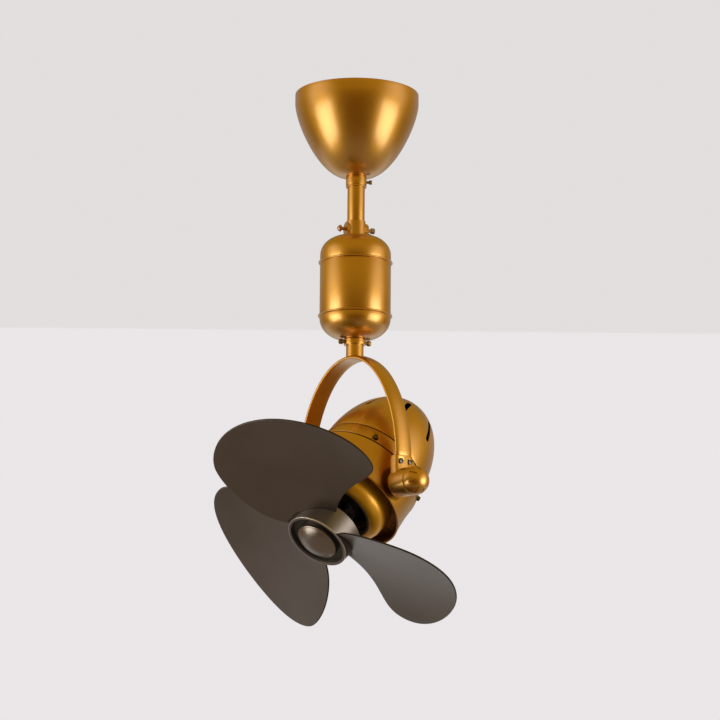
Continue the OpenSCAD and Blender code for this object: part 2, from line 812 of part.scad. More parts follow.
// Stations along the arch: position and outward direction in the yoke's XZ plane
end_angle = asin((socket_top - arch_z)/arch_h);
end_x = arch_r*cos(end_angle);
arch_stations = concat(
    [[-end_x, socket_top, 180]],
    [for (i = [1:arch_steps - 1]) let (
        a = 180 - end_angle - (180 - 2*end_angle)*i/arch_steps, nx = arch_h*cos(a), nz = arch_r*sin(a))
        [arch_r*cos(a), arch_z + arch_h*sin(a), atan2(nz, nx)]],
    [[end_x, socket_top, 0]]);

module strap_solid(grow) {
    section = strap_section(grow);
    sides = len(section);
    rings = len(arch_stations);
    points = [for (s = arch_stations) for (pt = section)
        [s[0] + pt[0]*cos(s[2]), pt[1], s[1] + pt[0]*sin(s[2])]];
    walls = [for (r = [0:rings - 2]) for (i = [0:sides - 1]) let (j = (i + 1) % sides)
        each [[r*sides + i, (r + 1)*sides + j, (r + 1)*sides + i],
              [r*sides + i, r*sides + j, (r + 1)*sides + j]]];
    caps = [[for (i = [sides - 1:-1:0]) i], [for (i = [0:sides - 1]) (rings - 1)*sides + i]];
    polyhedron(points = points, faces = concat(walls, caps), convexity = 6);
}

tongue_w = strap_w - 6;
tongue_t = 2.5;
tongue_l = 12;
tongue_x = end_x - strap_t/2 + 0.4;

// Flat tongue at the strap's end, grown all round by a gap
module tongue(grow) {
    translate([tongue_x - grow, -tongue_w/2 - grow, socket_top - tongue_l - grow])
        cube([tongue_t + 2*grow, tongue_w + 2*grow, tongue_l + past + 2*grow]);
}

module yoke_strap() {
    color(gold) in_yoke() difference() {
        union() {
            strap_solid(0);
            for (side = [0, 1]) mirror([side, 0, 0]) tongue(0);
        }
        for (side = [0, 1]) mirror([side, 0, 0])
            knuckle_screw_set(knuckle_screw_r + fit_gap/2, 0, knuckle_seat);
    }
}

block_in = barrel_in + 1.4;
block_half = strap_w/2 + socket_wall;
bolt_r = tilt_bolt_d/2;
knuckle_screw_r = 1.6;
knuckle_head_r = 3.3;
knuckle_head_t = 2.2;
knuckle_screw_y = 6.5;
knuckle_screw_z = socket_top - 6.3;
knuckle_seat = tongue_x + tongue_t + 0.7;

module knuckle_screw_set(radius, from, to) {
    for (y = [-knuckle_screw_y, knuckle_screw_y]) translate([0, y, knuckle_screw_z])
        bar_x(radius, from, to, $fn = 32);
}

// Flat inside and crowned outside, so that the strap's crown runs on into the barrel
module knuckle_section() {
    edge = end_x - strap_t/2 + strap_edge;
    polygon(concat([[block_in, block_half], [block_in, -block_half]],
        [for (i = [0:crown_steps]) let (a = -90 + 180*i/crown_steps)
            [edge + (strap_t - strap_edge)*cos(a), block_half*sin(a)]]));
}

inner_round = 4.2;

// Cast knuckle: a barrel on the tilt axis and a block that takes the strap's tongue
module knuckle() {
    color(gold) difference() {
        union() {
            translate([0, 0, -tilt_drop]) linear_extrude(socket_rise) knuckle_section();
            translate([0, 0, -tilt_drop]) bar_x(barrel_r, barrel_in, barrel_out);
        }
        tongue(fit_gap);
        difference() {
            translate([block_in - past, -block_half - past, socket_top - inner_round])
                cube([inner_round + past, 2*block_half + 2*past, inner_round + past]);
            translate([block_in + inner_round, 0, socket_top - inner_round]) rotate([90, 0, 0])
                cylinder(r = inner_round, h = 3*block_half, center = true);
        }
        translate([0, 0, -tilt_drop]) bar_x(bolt_r + running, barrel_in - past, barrel_out + past);
        knuckle_screw_set(knuckle_screw_r + fit_gap/2, block_in + 1.5, knuckle_seat + past);
        knuckle_screw_set(knuckle_head_r + fit_gap, knuckle_seat, knuckle_seat + 6);
    }
}

module right_knuckle() {
    in_yoke() knuckle();
}

module left_knuckle() {
    in_yoke() mirror([1, 0, 0]) knuckle();
}

module knuckle_screws() {
    color(steel) in_yoke() for (side = [0, 1]) mirror([side, 0, 0]) {
        knuckle_screw_set(knuckle_screw_r, block_in + 2, knuckle_seat + past);
        knuckle_screw_set(knuckle_head_r, knuckle_seat + fit_gap/2, knuckle_seat + knuckle_head_t);
    }
}

cap_nut_gap = 0.3;
cap_nut_step = 2.2;
nut_bore = 9;
notch_count = 8;
notch_r = 1.2;
notch_l = 7.5;

// Bullet-shaped cap nut with short notches round its dome for a pin spanner
module cap_nut() {
    centre = barrel_out + cap_nut_gap + cap_nut_step;
    color(gold) difference() {
        union() {
            bar_x(barrel_r, barrel_out + cap_nut_gap, centre);
            intersection() {
                translate([centre, 0, 0]) sphere(r = barrel_r);
                bar_x(2*barrel_r, centre - past, centre + 2*barrel_r);
            }
        }
        bar_x(bolt_r + fit_gap/2, barrel_out - past, barrel_out + nut_bore);
        for (i = [0:notch_count - 1]) translate([centre, 0, 0]) rotate([360*i/notch_count, 0, 0])
            rotate([0, 38, 0]) translate([-notch_l/2, 0, barrel_r])
                rotate([0, 90, 0]) cylinder(r = notch_r, h = notch_l, $fn = 24);
    }
}

module tilt_cap_nuts() {
    in_yoke() translate([0, 0, -tilt_drop]) for (side = [0, 1]) mirror([side, 0, 0]) cap_nut();
}

washer_t = 1.6;
boss_out = barrel_in - washer_t - 2*slip;
boss_r = 12;
stud_in = waist_r - 0.6;

// Studs whose inner ends turn in the motor housing's bosses
module tilt_studs() {
    color(steel) in_yoke() translate([0, 0, -tilt_drop]) for (side = [0, 1]) mirror([side, 0, 0])
        bar_x(bolt_r, stud_in, barrel_out + nut_bore - 1);
}

module friction_washers() {
    washer_x = boss_out + slip;
    color(black) in_yoke() translate([0, 0, -tilt_drop]) for (side = [0, 1]) mirror([side, 0, 0])
        difference() {
            bar_x(boss_r, washer_x, washer_x + washer_t);
            bar_x(bolt_r + fit_gap, washer_x - past, washer_x + washer_t + past);
        }
}

// Motor housing, in the head frame

seam_z = -seam_back;
dome_z = -dome_back;
waist_back = 5;
waist_z = -waist_back;
flare_r = pow(lip_z - waist_z, 2)/(2*(lip_r - waist_r));
seam_r = waist_r + pow(seam_z - waist_z, 2)/(2*flare_r);
skirt_step = 3;
skirt_r = dome_r - skirt_step;
spigot_step = 0.9;
spigot_r = dome_r - spigot_step;
spigot_l = 12;
spigot_end = seam_z - spigot_l;
floor_z = 6.5;
floor_t = 2.5;
lip_roll = 1.2;

function flare(z) = waist_r + pow(z - waist_z, 2)/(2*flare_r);

floor_hole_r = collar_r - 4.5;

module front_shell() {
    steps = 18;
    outside = [for (i = [0:steps]) let (z = seam_z + (lip_z - lip_roll - seam_z)*i/steps) [flare(z), z]];
    inside = [for (i = [steps:-1:0]) let (z = floor_z + (lip_z - lip_roll - floor_z)*i/steps)
        [flare(z) - shell_wall, z]];
    roll = ellipse_arc([lip_r - shell_wall/2, lip_z - lip_roll], shell_wall/2, lip_roll, 20, 160, 6);
    back_r = waist_r - shell_wall;
    color(gold) in_head() difference() {
        union() {
            rotate_extrude() polygon(concat(
                outside, roll, inside,
                [[floor_hole_r, floor_z], [floor_hole_r, floor_z - floor_t],
                 [back_r, floor_z - floor_t], [back_r, seam_z], [spigot_r - shell_wall, seam_z - 1],
                 [spigot_r - shell_wall, spigot_end], [spigot_r, spigot_end], [spigot_r, seam_z]]));
            difference() {
                for (side = [0, 1]) mirror([side, 0, 0]) bar_x(boss_r, waist_r - 2*shell_wall, boss_out);
                translate([0, 0, seam_z]) cylinder(r = back_r + shell_wall/2, h = lip_z - seam_z);
            }
        }
        for (side = [0, 1]) mirror([side, 0, 0]) bar_x(bolt_r + running, stud_in - slip, boss_out + past);
        band_screw_set(band_screw_r + fit_gap/2, skirt_r - shell_wall - past, spigot_r + 2);
    }
}

band_screw_z = (seam_z + dome_z)/2 + 2.6;
band_screw_r = 1.5;
band_head_r = 3.3;
band_screw_angle = 42;
band_screw_count = 4;

module around(count, first) {
    for (i = [0:count - 1]) rotate([0, 0, first + 360*i/count]) children();
}

module band_screw_set(radius, from, to) {
    around(band_screw_count, band_screw_angle) translate([0, 0, band_screw_z])
        bar_x(radius, from, to, $fn = 32);
}

band_chamfer = 2.6;
band_end_r = dome_r + 0.8;
band_head_x = band_end_r - 0.6;
band_head_t = 3;

// Band that covers the joint between the two shells
module housing_band() {
    band_back = dome_z + 0.3;
    color(gold) in_head() difference() {
        rotate_extrude() polygon([
            [spigot_r + fit_gap, seam_z - 0.25], [seam_r - 0.3, seam_z - 0.25],
            [band_end_r, band_back + band_chamfer], [dome_r - 0.4, band_back],
            [spigot_r + fit_gap, band_back]]);
        band_screw_set(band_screw_r + fit_gap/2, skirt_r, seam_r + past);
        band_screw_set(band_head_r + fit_gap, band_head_x, seam_r + past);
    }
}

module band_screws() {
    color(steel) in_head() {
        band_screw_set(band_screw_r, skirt_r - shell_wall, band_head_x + past);
        band_screw_set(band_head_r, band_head_x + fit_gap/2, band_head_x + band_head_t);
    }
}

vent_angle = 31;
vent_front = dome_z - 32;

module vent_slot() {
    end_z = vent_front - vent_l;
    translate([0, -vent_w/2, end_z + vent_w/2]) cube([2*dome_r, vent_w, vent_l - vent_w]);
    for (z = [vent_front - vent_w/2, end_z + vent_w/2]) translate([0, 0, z])
        bar_x(vent_w/2, 0, 2*dome_r, $fn = 24);
}

// Rear shell: half an ellipsoid with vent slots along its meridians
module rear_shell() {
    steps = 30;
    skirt_front = seam_z - 3;
    skirt_in = skirt_r - shell_wall;
    meet = acos(skirt_in/(dome_r - shell_wall));
    outside = ellipse_arc([0, dome_z], dome_r, dome_h, 0, -90, steps);
    inside = ellipse_arc([0, dome_z], dome_r - shell_wall, dome_h - shell_wall, -90, -meet, steps);
    color(gold) in_head() difference() {
        rotate_extrude() polygon(concat(
            outside, inside, [[skirt_in, skirt_front], [skirt_r, skirt_front], [skirt_r, dome_z]]));
        around(vent_count, vent_angle) vent_slot();
        band_screw_set(band_screw_r + fit_gap/2, skirt_in - past, skirt_r + past);
    }
}

// Rounded gold collar in front of the motor
module front_collar() {
    steps = 12;
    mouth_r = nose_r - 4.4;
    shoulder = nose_z - 13;
    outside = ellipse_arc([nose_r, shoulder], collar_r - nose_r, nose_z - shoulder, 0, 90, steps);
    color(gold) in_head() rotate_extrude() polygon(concat(
        [[collar_r - 3, floor_z + fit_gap/2], [collar_r, floor_z + fit_gap/2]], outside,
        [[mouth_r + 1, nose_z], [mouth_r, nose_z - 1], [mouth_r, shoulder + 2], [collar_r - 3, shoulder]]));
}

front_plate_z = floor_z - floor_t;
shaft_r = shaft_d/2;
front_boss_z = nose_z - 6;
front_boss_r = bearing_r + 3;

// Black cast plate that carries the front bearing and, in its cup, the stator
module front_plate() {
    rim_r = floor_hole_r - fit_gap;
    cup_r = stator_r + fit_gap;
    cup_end = stator_front - 6;
    bearing_seat = front_boss_z - bearing_w - 1.6;
    color(black) in_head() difference() {
        rotate_extrude() polygon([
            [shaft_r + 2, front_plate_z], [cup_r, front_plate_z], [cup_r, cup_end], [rim_r, cup_end],
            [rim_r, floor_z], [collar_r - 3.1, floor_z], [collar_r - 3.1, floor_z + 3],
            [rim_r - 8, floor_z + 4], [front_boss_r + 4, front_boss_z - 5], [front_boss_r, front_boss_z],
            [shaft_r + 2, front_boss_z]]);
        translate([0, 0, bearing_seat]) cylinder(r = bearing_r + fit_gap/2, h = bearing_w + 20);
    }
}

front_bearing_z = front_boss_z - bearing_w - 1.5;
stator_front = front_plate_z - 10;
stator_back = stator_front - stator_l;
rear_plate_z = stator_back - 14;
rear_bearing_z = rear_plate_z;
rear_plate_t = 3;

// Rear plate: three arms, a rim in the rear shell and a cup for the rear bearing
module rear_plate() {
    rim_r = skirt_r - shell_wall - fit_gap;
    rim_w = 5;
    cup_h = bearing_w + 3;
    color(steel) in_head() translate([0, 0, rear_plate_z - 2]) difference() {
        union() {
            tube(rim_r, rim_r - rim_w, rear_plate_t);
            cylinder(r = bearing_r + 3, h = cup_h);
            around(3, 0) translate([0, -6, 0]) cube([rim_r - rim_w/2, 12, rear_plate_t]);
        }
        translate([0, 0, 2]) cylinder(r = bearing_r + fit_gap/2, h = cup_h);
        translate([0, 0, -past]) cylinder(r = shaft_r + 1, h = cup_h);
    }
}

slot_w = 4.5;
tooth_gap = 2.2;

module stator_core() {
    yoke_in = stator_r - 7;
    color("slategray") in_head() translate([0, 0, stator_back]) difference() {
        tube(stator_r, stator_bore, stator_l);
        around(stator_slots, 180/stator_slots) {
            translate([stator_bore + 2.5, -slot_w/2, -past])
                cube([yoke_in - stator_bore - 2.5, slot_w, stator_l + 2*past]);
            translate([stator_bore - past, -tooth_gap/2, -past]) cube([5, tooth_gap, stator_l + 2*past]);
        }
    }
}

// End turns at both faces of the core
module stator_windings() {
    winding_h = 7;
    winding_in = stator_bore + 4;
    winding_out = stator_r - 5;
    mid = (winding_in + winding_out)/2;
    half = (winding_out - winding_in)/2;
    color("sienna") in_head() for (side = [0, 1])
        translate([0, 0, stator_back + stator_l/2]) mirror([0, 0, side])
            translate([0, 0, stator_l/2 + fit_gap]) rotate_extrude()
                polygon(ellipse_arc([mid, 0], half, winding_h, 0, 180, 12));
}

module shaft_bearings() {
    color(steel) in_head() for (z = [front_bearing_z, rear_bearing_z]) translate([0, 0, z]) difference() {
        tube(bearing_r, shaft_r + running, bearing_w);
        for (face = [-past, bearing_w - 0.8]) translate([0, 0, face])
            tube(bearing_r - 2.2, shaft_r + 2.2, past + 0.8);
    }
}

// Laminated rotor with its end ring
module rotor_core() {
    rotor_r = stator_bore - air_gap;
    end_t = 3;
    color("slategray") in_head() translate([0, 0, stator_back - end_t]) {
        translate([0, 0, end_t]) tube(rotor_r, shaft_r + fit_gap/2, stator_l);
        tube(rotor_r - 3, shaft_r + fit_gap/2, end_t);
        translate([0, 0, end_t + stator_l]) tube(rotor_r - 3, shaft_r + fit_gap/2, end_t);
    }
}

hub_wall_z = hub_front_z - hub_wall - ring_depth;
nut_h = 4;
shaft_front = hub_wall_z + hub_wall + nut_h + 1;

module motor_shaft() {
    shaft_back = rear_bearing_z - 0.6;
    color(steel) in_head() translate([0, 0, shaft_back]) cylinder(r = shaft_r, h = shaft_front - shaft_back);
}

// Rotor hub

function hub_r(z) = hub_rear_r + (hub_front_r - hub_rear_r)*(z - hub_rear_z)/(hub_front_z - hub_rear_z);

rim_w = 2.8;
hub_boss_r = 11;

// Flared cup with a raised rim and a sunk ring round the centre cap
module hub() {
    color(pewter) in_head() difference() {
        rotate_extrude() polygon([
            [hub_rear_r - hub_wall, hub_rear_z], [hub_rear_r - 0.4, hub_rear_z],
            [hub_rear_r, hub_rear_z + 0.8],
            [hub_r(hub_front_z - 3), hub_front_z - 3], [hub_front_r + 0.3, hub_front_z - 1.2],
            [hub_front_r, hub_front_z], [hub_front_r - rim_w, hub_front_z],
            [hub_front_r - rim_w - 0.6, hub_wall_z + hub_wall], [shaft_r + fit_gap, hub_wall_z + hub_wall],
            [shaft_r + fit_gap, hub_wall_z], [hub_r(hub_wall_z) - hub_wall, hub_wall_z]]);
        around(blade_count, rotor_turn) blade_place() blade_tab(blade_t + 2*fit_gap, fit_gap);
    }
}

cap_seat = hub_wall_z + hub_wall + fit_gap/2;

module hub_cap() {
    dome = ellipse_arc([0, hub_front_z + cap_side], cap_r, cap_h - cap_side, 0, 90, 16);
    hollow_r = 9.5;
    hollow_z = cap_seat + nut_h + 2;
    color(pewter) in_head() rotate_extrude() polygon(concat(
        [[hollow_r, cap_seat], [cap_r, cap_seat]], dome, [[0, hollow_z], [hollow_r, hollow_z]]));
}

module hub_nut() {
    color(steel) in_head() translate([0, 0, cap_seat]) difference() {
        cylinder(r = 8.5, h = nut_h, $fn = 6);
        translate([0, 0, -past]) cylinder(r = shaft_r + fit_gap/2, h = nut_h + 2*past);
    }
}

// Blades

blade_root_x = 22;
tab_in = 21;
tab_out = hub_rear_r + 4;
curve_steps = 14;

function bezier(a, b, c, d, t) =
    pow(1 - t, 3)*a + 3*pow(1 - t, 2)*t*b + 3*(1 - t)*t*t*c + pow(t, 3)*d;

function curve(a, b, c, d) = [for (i = [0:curve_steps - 1]) bezier(a, b, c, d, i/curve_steps)];

// Outline of a blade laid flat, from the root's leading corner round the tip and back
blade_outline = let (
    root_lead = [blade_root_x, 24], belly_lead = [lead_x, lead_w], tip = [blade_tip, 1.5],
    belly_trail = [trail_x, -trail_w], root_trail = [blade_root_x, -25])
    concat(
        curve(root_lead, root_lead + [5, 28], belly_lead - [31, 0], belly_lead),
        curve(belly_lead, belly_lead + [17, 0], tip + [0, 58], tip),
        curve(tip, tip - [0, 47], belly_trail + [39, 0], belly_trail),
        curve(belly_trail, belly_trail - [31, 0], root_trail + [48, -26], root_trail),
        [root_trail]);

// Puts a blade's own frame on the rotor: X along the blade, Y across it, Z forward
module blade_place() {
    translate([0, 0, blade_z]) rotate([blade_pitch, 0, 0]) children();
}

bend_x = 98;
sheet_reach = 420;

// Sheet of the given thickness, bent round a cylinder in front of the blade
module bent_sheet(thickness) {
    translate([bend_x, 0, bend_r]) rotate([0, 0, bend_turn]) rotate([0, 90, 0]) difference() {
        cylinder(r = bend_r + thickness/2, h = sheet_reach, center = true, $fn = 360);
        cylinder(r = bend_r - thickness/2, h = sheet_reach + past, center = true, $fn = 360);
    }
}

module blade_tab(thickness, grow) {
    intersection() {
        bent_sheet(thickness);
        translate([tab_in - grow, -tab_w/2 - grow, -lead_in])
            cube([tab_out - tab_in + grow, tab_w + 2*grow, reach]);
    }
}

blade_screw_x = 28;
blade_screw_y = 6.5;
blade_screw_r = 1.5;
blade_head_r = 2.8;
blade_head_t = 2;
blade_screw_deep = 8;

// Height of the bent sheet's middle at a point of the blade's own frame
function sheet_z(x, y) =
    let (off = (x - bend_x)*sin(bend_turn) - y*cos(bend_turn)) bend_r - sqrt(bend_r*bend_r - off*off);

module blade_screw_set(radius, from, to) {
    for (y = [-blade_screw_y, blade_screw_y]) translate([blade_screw_x, y, from])
        cylinder(r = radius, h = to - from, $fn = 24);
}

// The blade outside the hub, with its root edge following the hub's cone, and its tab inside
module blade() {
    root_gap = 0.3;
    color(bronze) difference() {
        union() {
            difference() {
                blade_place() intersection() {
                    bent_sheet(blade_t);
                    translate([0, 0, -lead_in]) linear_extrude(reach) polygon(blade_outline);
                }
                translate([0, 0, hub_rear_z - 30]) cylinder(
                    r1 = hub_r(hub_rear_z - 30) + root_gap, r2 = hub_r(hub_front_z + 30) + root_gap,
                    h = hub_front_z - hub_rear_z + 60);
            }
            blade_place() blade_tab(blade_t, 0);
        }
        blade_place() blade_screw_set(blade_screw_r + fit_gap, -blade_screw_deep, blade_screw_deep);
    }
}

module placed_blade(index) {
    in_head() rotate([0, 0, rotor_turn + 360*index/blade_count]) blade();
}

module blade_1() {
    placed_blade(0);
}

module blade_2() {
    placed_blade(1);
}

module blade_3() {
    placed_blade(2);
}

carrier_z = hub_rear_z + 1.5;
carrier_t = 2.5;

// Disc on the shaft with three pads, each shaped to the back of a blade's tab
module blade_carrier() {
    pad_in = tab_in + 1;
    pad_out = hub_rear_r - hub_wall - 1;
    pad_gap = 0.5;
    hub_tube = hub_wall_z - fit_gap - carrier_z;
    color(black) in_head() difference() {
        union() {
            translate([0, 0, carrier_z]) tube(pad_out, shaft_r + fit_gap/2, carrier_t);
            translate([0, 0, carrier_z]) tube(hub_boss_r, shaft_r + fit_gap/2, hub_tube);
            around(blade_count, rotor_turn) intersection() {
                translate([pad_in, -tab_w/2 + 2, carrier_z + 1]) cube([pad_out - pad_in - 1, tab_w - 4, 30]);
                translate([0, 0, carrier_z]) cylinder(
                    r1 = hub_r(carrier_z) - hub_wall - pad_gap, r2 = hub_r(hub_front_z) - hub_wall - pad_gap,
                    h = hub_front_z - carrier_z);
                blade_place() translate([bend_x, 0, bend_r]) rotate([0, 0, bend_turn]) rotate([0, 90, 0])
                    difference() {
                        cylinder(r = bend_r + 30, h = sheet_reach, center = true, $fn = 360);
                        cylinder(r = bend_r + blade_t/2 + fit_gap, h = sheet_reach + past, center = true,
                            $fn = 360);
                    }
            }
        }
        around(blade_count, rotor_turn) blade_place()
            blade_screw_set(blade_screw_r + fit_gap, -blade_screw_deep - fit_gap, blade_screw_deep);
    }
}

module blade_screws() {
    color(steel) in_head() around(blade_count, rotor_turn) blade_place()
        for (y = [-blade_screw_y, blade_screw_y]) translate([blade_screw_x, y, 0]) {
            seat = sheet_z(blade_screw_x, y) + blade_t/2 + slip;
            translate([0, 0, -blade_screw_deep])
                cylinder(r = blade_screw_r, h = seat + blade_screw_deep, $fn = 24);
            translate([0, 0, seat]) cylinder(r = blade_head_r, h = blade_head_t, $fn = 24);
        }
}

ceiling_bracket();
hanger_bolt();
rod_nuts();
rod_bushes();
terminal_block();
canopy();
canopy_collar();
canopy_collar_screw();
downrod();
rod_coupler();
coupling_bolt();
bolt_clip();
gearbox_upper_cap();
gearbox_beads();
gearbox_sleeve();
gearbox_lower_cap();
gearbox_top_plate();
coupler_nut();
gearbox_pillars();
motor_plate();
upper_bush();
bearing_plate();
output_bearing();
orbit_motor();
orbit_pinion();
orbit_gear();
output_shaft();
shaft_clip();
slip_rings();
brush_block();
stem();
stem_collar();
stem_screws();
yoke_strap();
left_knuckle();
right_knuckle();
knuckle_screws();
tilt_cap_nuts();
tilt_studs();
friction_washers();
front_shell();
housing_band();
rear_shell();
band_screws();
front_collar();
front_plate();
rear_plate();
stator_core();
stator_windings();
shaft_bearings();
rotor_core();
motor_shaft();
hub();
hub_cap();
blade_carrier();
blade_1();
blade_2();
blade_3();
blade_screws();
hub_nut();
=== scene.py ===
from math import asin, atan2, cos, pi, radians, sin, sqrt

import bpy
from mathutils import Matrix, Vector


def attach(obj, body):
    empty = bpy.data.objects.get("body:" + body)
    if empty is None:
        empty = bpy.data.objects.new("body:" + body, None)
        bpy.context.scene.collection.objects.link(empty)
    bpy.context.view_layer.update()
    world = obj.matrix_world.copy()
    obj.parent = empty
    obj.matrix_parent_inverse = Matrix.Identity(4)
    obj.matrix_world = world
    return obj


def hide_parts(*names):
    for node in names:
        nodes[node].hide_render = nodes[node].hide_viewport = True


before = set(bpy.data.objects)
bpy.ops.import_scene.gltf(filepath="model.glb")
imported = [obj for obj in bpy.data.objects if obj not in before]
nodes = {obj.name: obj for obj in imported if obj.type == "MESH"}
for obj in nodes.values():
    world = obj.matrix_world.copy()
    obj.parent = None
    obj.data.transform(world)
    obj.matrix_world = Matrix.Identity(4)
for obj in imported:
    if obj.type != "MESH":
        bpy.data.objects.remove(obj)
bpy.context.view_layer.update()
bpy.ops.object.select_all(action="DESELECT")

# Camera and studio
# The camera looks up at the fan from 3.1 m away with a long lens. Two softboxes stand low at
# the fan's left and right, and the room behind the fan is pale.
camera_spot = Vector((0, -3.138, -0.945))
camera_pitch = radians(11.64)
camera_yaw = 0.00184
camera_roll = radians(0.48)
lens_mm, sensor_mm, sight_limit = 147.5, 36, 60
forward = Vector((sin(camera_yaw) * cos(camera_pitch), cos(camera_yaw) * cos(camera_pitch),
                  sin(camera_pitch)))
level = Vector((cos(camera_yaw), -sin(camera_yaw), 0))
upright = level.cross(forward)
right = level * cos(camera_roll) + upright * sin(camera_roll)
up = upright * cos(camera_roll) - level * sin(camera_roll)
bpy.ops.object.camera_add(location=camera_spot)
camera = bpy.context.object
camera.rotation_euler = Matrix((right, up, -forward)).transposed().to_euler()
camera.data.lens = lens_mm
camera.data.sensor_width = sensor_mm
camera.data.clip_end = sight_limit
bpy.context.scene.camera = camera
bpy.context.scene.view_settings.view_transform = "Standard"


class Wire:
    """One output of a shader node. Sums written with it become Math nodes."""

    def __init__(self, tree, socket=None):
        self.tree = tree
        self.socket = socket

    def node(self, kind, settings=(), sockets=(), output=0):
        made = self.tree.nodes.new(kind)
        for key, value in dict(settings).items():
            setattr(made, key, value)
        for key, value in dict(sockets).items():
            if isinstance(value, Wire):
                self.tree.links.new(value.socket, made.inputs[key])
            else:
                made.inputs[key].default_value = value
        return Wire(self.tree, made.outputs[output] if len(made.outputs) else None)

    def sums(self, operation, first, second=0.0):
        return self.node("ShaderNodeMath", {"operation": operation}, {0: first, 1: second})

    def __add__(self, other):
        return self.sums("ADD", self, other)

    def __sub__(self, other):
        return self.sums("SUBTRACT", self, other)

    def __mul__(self, other):
        return self.sums("MULTIPLY", self, other)

    def __radd__(self, other):
        return self.sums("ADD", other, self)

    def __rsub__(self, other):
        return self.sums("SUBTRACT", other, self)

    def __rmul__(self, other):
        return self.sums("MULTIPLY", other, self)

    def between(self, low, high):
        """0 at the low value, 1 at the high one, and smooth in between."""
        return self.node("ShaderNodeMapRange", {"interpolation_type": "SMOOTHSTEP"},
                         {"Value": self, "From Min": low, "From Max": high})

    def blend(self, first, second):
        """The first colour where this is 0 and the second where it is 1."""
        return self.node("ShaderNodeMix", {"data_type": "RGBA"},
                         {0: self, 6: first, 7: second}, output=2)


def parts_of(place):
    """The X, Y and Z of a place or a direction."""
    return [place.node("ShaderNodeSeparateXYZ", (), {0: place}, output=i) for i in range(3)]


wall_white, ceiling_grey = (0.826, 0.796, 0.806, 1), (0.762, 0.735, 0.735, 1)
ceiling_slope, ceiling_blur = 0.2164, 0.0004
front_floor, front_ceiling = (0.11, 0.038, 0.002, 1), (0.46, 0.31, 0.04, 1)
back_floor, back_wall = (0.66, 0.65, 0.65, 1), (0.35, 0.31, 0.28, 1)
back_ceiling, window_glow = (0.21, 0.155, 0.09, 1), (1.12, 0.94, 0.72, 1)
room_light = (0.45, 0.44, 0.45, 1)

room = bpy.data.worlds.new("studio_room")
bpy.context.scene.world = room
room.use_nodes = True
room.node_tree.nodes.clear()
air = Wire(room.node_tree)
toward_x, toward_y, toward_z = parts_of(air.node("ShaderNodeTexCoord"))
above_edge = (toward_z - toward_y * ceiling_slope).between(-ceiling_blur, ceiling_blur)
room_seen = above_edge.blend(wall_white, ceiling_grey)
room_front = toward_z.between(-0.45, 0.45).blend(front_floor, front_ceiling)
room_low = toward_z.between(-0.32, -0.12).blend(back_floor, back_wall)
room_back = toward_z.between(0.25, 0.6).blend(room_low, back_ceiling)
room_depth = toward_y.between(0.4, 0.97).blend(room_front, room_back)
at_sides = ((toward_x * toward_x).between(0.4, 0.9) * toward_z.between(-0.3, 0.15)
            * (1 - toward_y.between(-0.1, 0.4)))
room_mirrored = at_sides.blend(room_depth, window_glow)
seen = air.node("ShaderNodeLightPath", output=0)
mirrored = air.node("ShaderNodeLightPath", output=3)
through = air.node("ShaderNodeLightPath", output=6)
lit = (mirrored + through).blend(room_light, room_mirrored)
shown = air.node("ShaderNodeBackground", (), {"Color": seen.blend(lit, room_seen)})
air.node("ShaderNodeOutputWorld", (), {"Surface": shown})

softbox_out, softbox_front, softbox_drop = 1.10, -0.44, -0.57
softbox_width, softbox_height, softbox_watts = 0.80, 0.70, 5.6
softbox_colour = (1, 0.98, 0.9)
lit_spot = Vector((0, 0, -0.3))
for side in (-1, 1):
    spot = Vector((side * softbox_out, softbox_front, softbox_drop))
    bpy.ops.object.light_add(type="AREA", location=spot)
    softbox = bpy.context.object
    softbox.name = "softbox"
    softbox.rotation_euler = (lit_spot - spot).to_track_quat("-Z", "Y").to_euler()
    softbox.data.shape = "RECTANGLE"
    softbox.data.size = softbox_width
    softbox.data.size_y = softbox_height
    softbox.data.energy = softbox_watts
    softbox.data.color = softbox_colour
    softbox.visible_camera = False

floor_side, floor_level = 12, -2.6
oak_dark, oak_light = (0.56, 0.44, 0.31, 1), (0.60, 0.48, 0.35, 1)
haze_front, haze_near = (0.11, 0.04, 0.003, 1), (0.36, 0.30, 0.26, 1)
haze_far = (0.62, 0.62, 0.63, 1)
haze_start, haze_full = 1.8, 3.4

bpy.ops.mesh.primitive_plane_add(size=floor_side, location=(0, 0, floor_level))
floor = bpy.context.object
floor.name = "floor"
floor_paint = bpy.data.materials.new("pale_oak_floor")
floor_paint.use_nodes = True
floor_links = floor_paint.node_tree.links
boards = floor_paint.node_tree.nodes["Principled BSDF"]
boards.inputs["Roughness"].default_value = 0.9
floor_shade = Wire(floor_paint.node_tree)
floor_place = floor_shade.node("ShaderNodeTexCoord", output=3)
floor_grain = floor_shade.node("ShaderNodeTexNoise", (), {"Vector": floor_place, "Scale": 3.0})
floor_links.new(floor_grain.between(0.3, 0.7).blend(oak_dark, oak_light).socket,
                boards.inputs["Base Color"])
floor_far = floor_shade.node("ShaderNodeVectorMath", {"operation": "LENGTH"}, {0: floor_place},
                             output=1)
floor_y = parts_of(floor_place)[1]
floor_seen = floor_shade.node("ShaderNodeLightPath", output=0)
floor_back = floor_y.between(1.0, 4.5).blend(haze_near, haze_far)
floor_haze = floor_y.between(-1.2, 0.8).blend(haze_front, floor_back)
haze = floor_shade.node("ShaderNodeEmission", (),
                        {"Color": floor_seen.blend(floor_haze, wall_white)})
floor_mix = floor_shade.node("ShaderNodeMixShader", (), {
    0: floor_far.between(haze_start, haze_full), 1: Wire(floor_paint.node_tree, boards.outputs[0]),
    2: haze})
floor_links.new(floor_mix.socket, floor_paint.node_tree.nodes["Material Output"].inputs[0])
floor.data.materials.append(floor_paint)
bpy.ops.object.select_all(action="DESELECT")

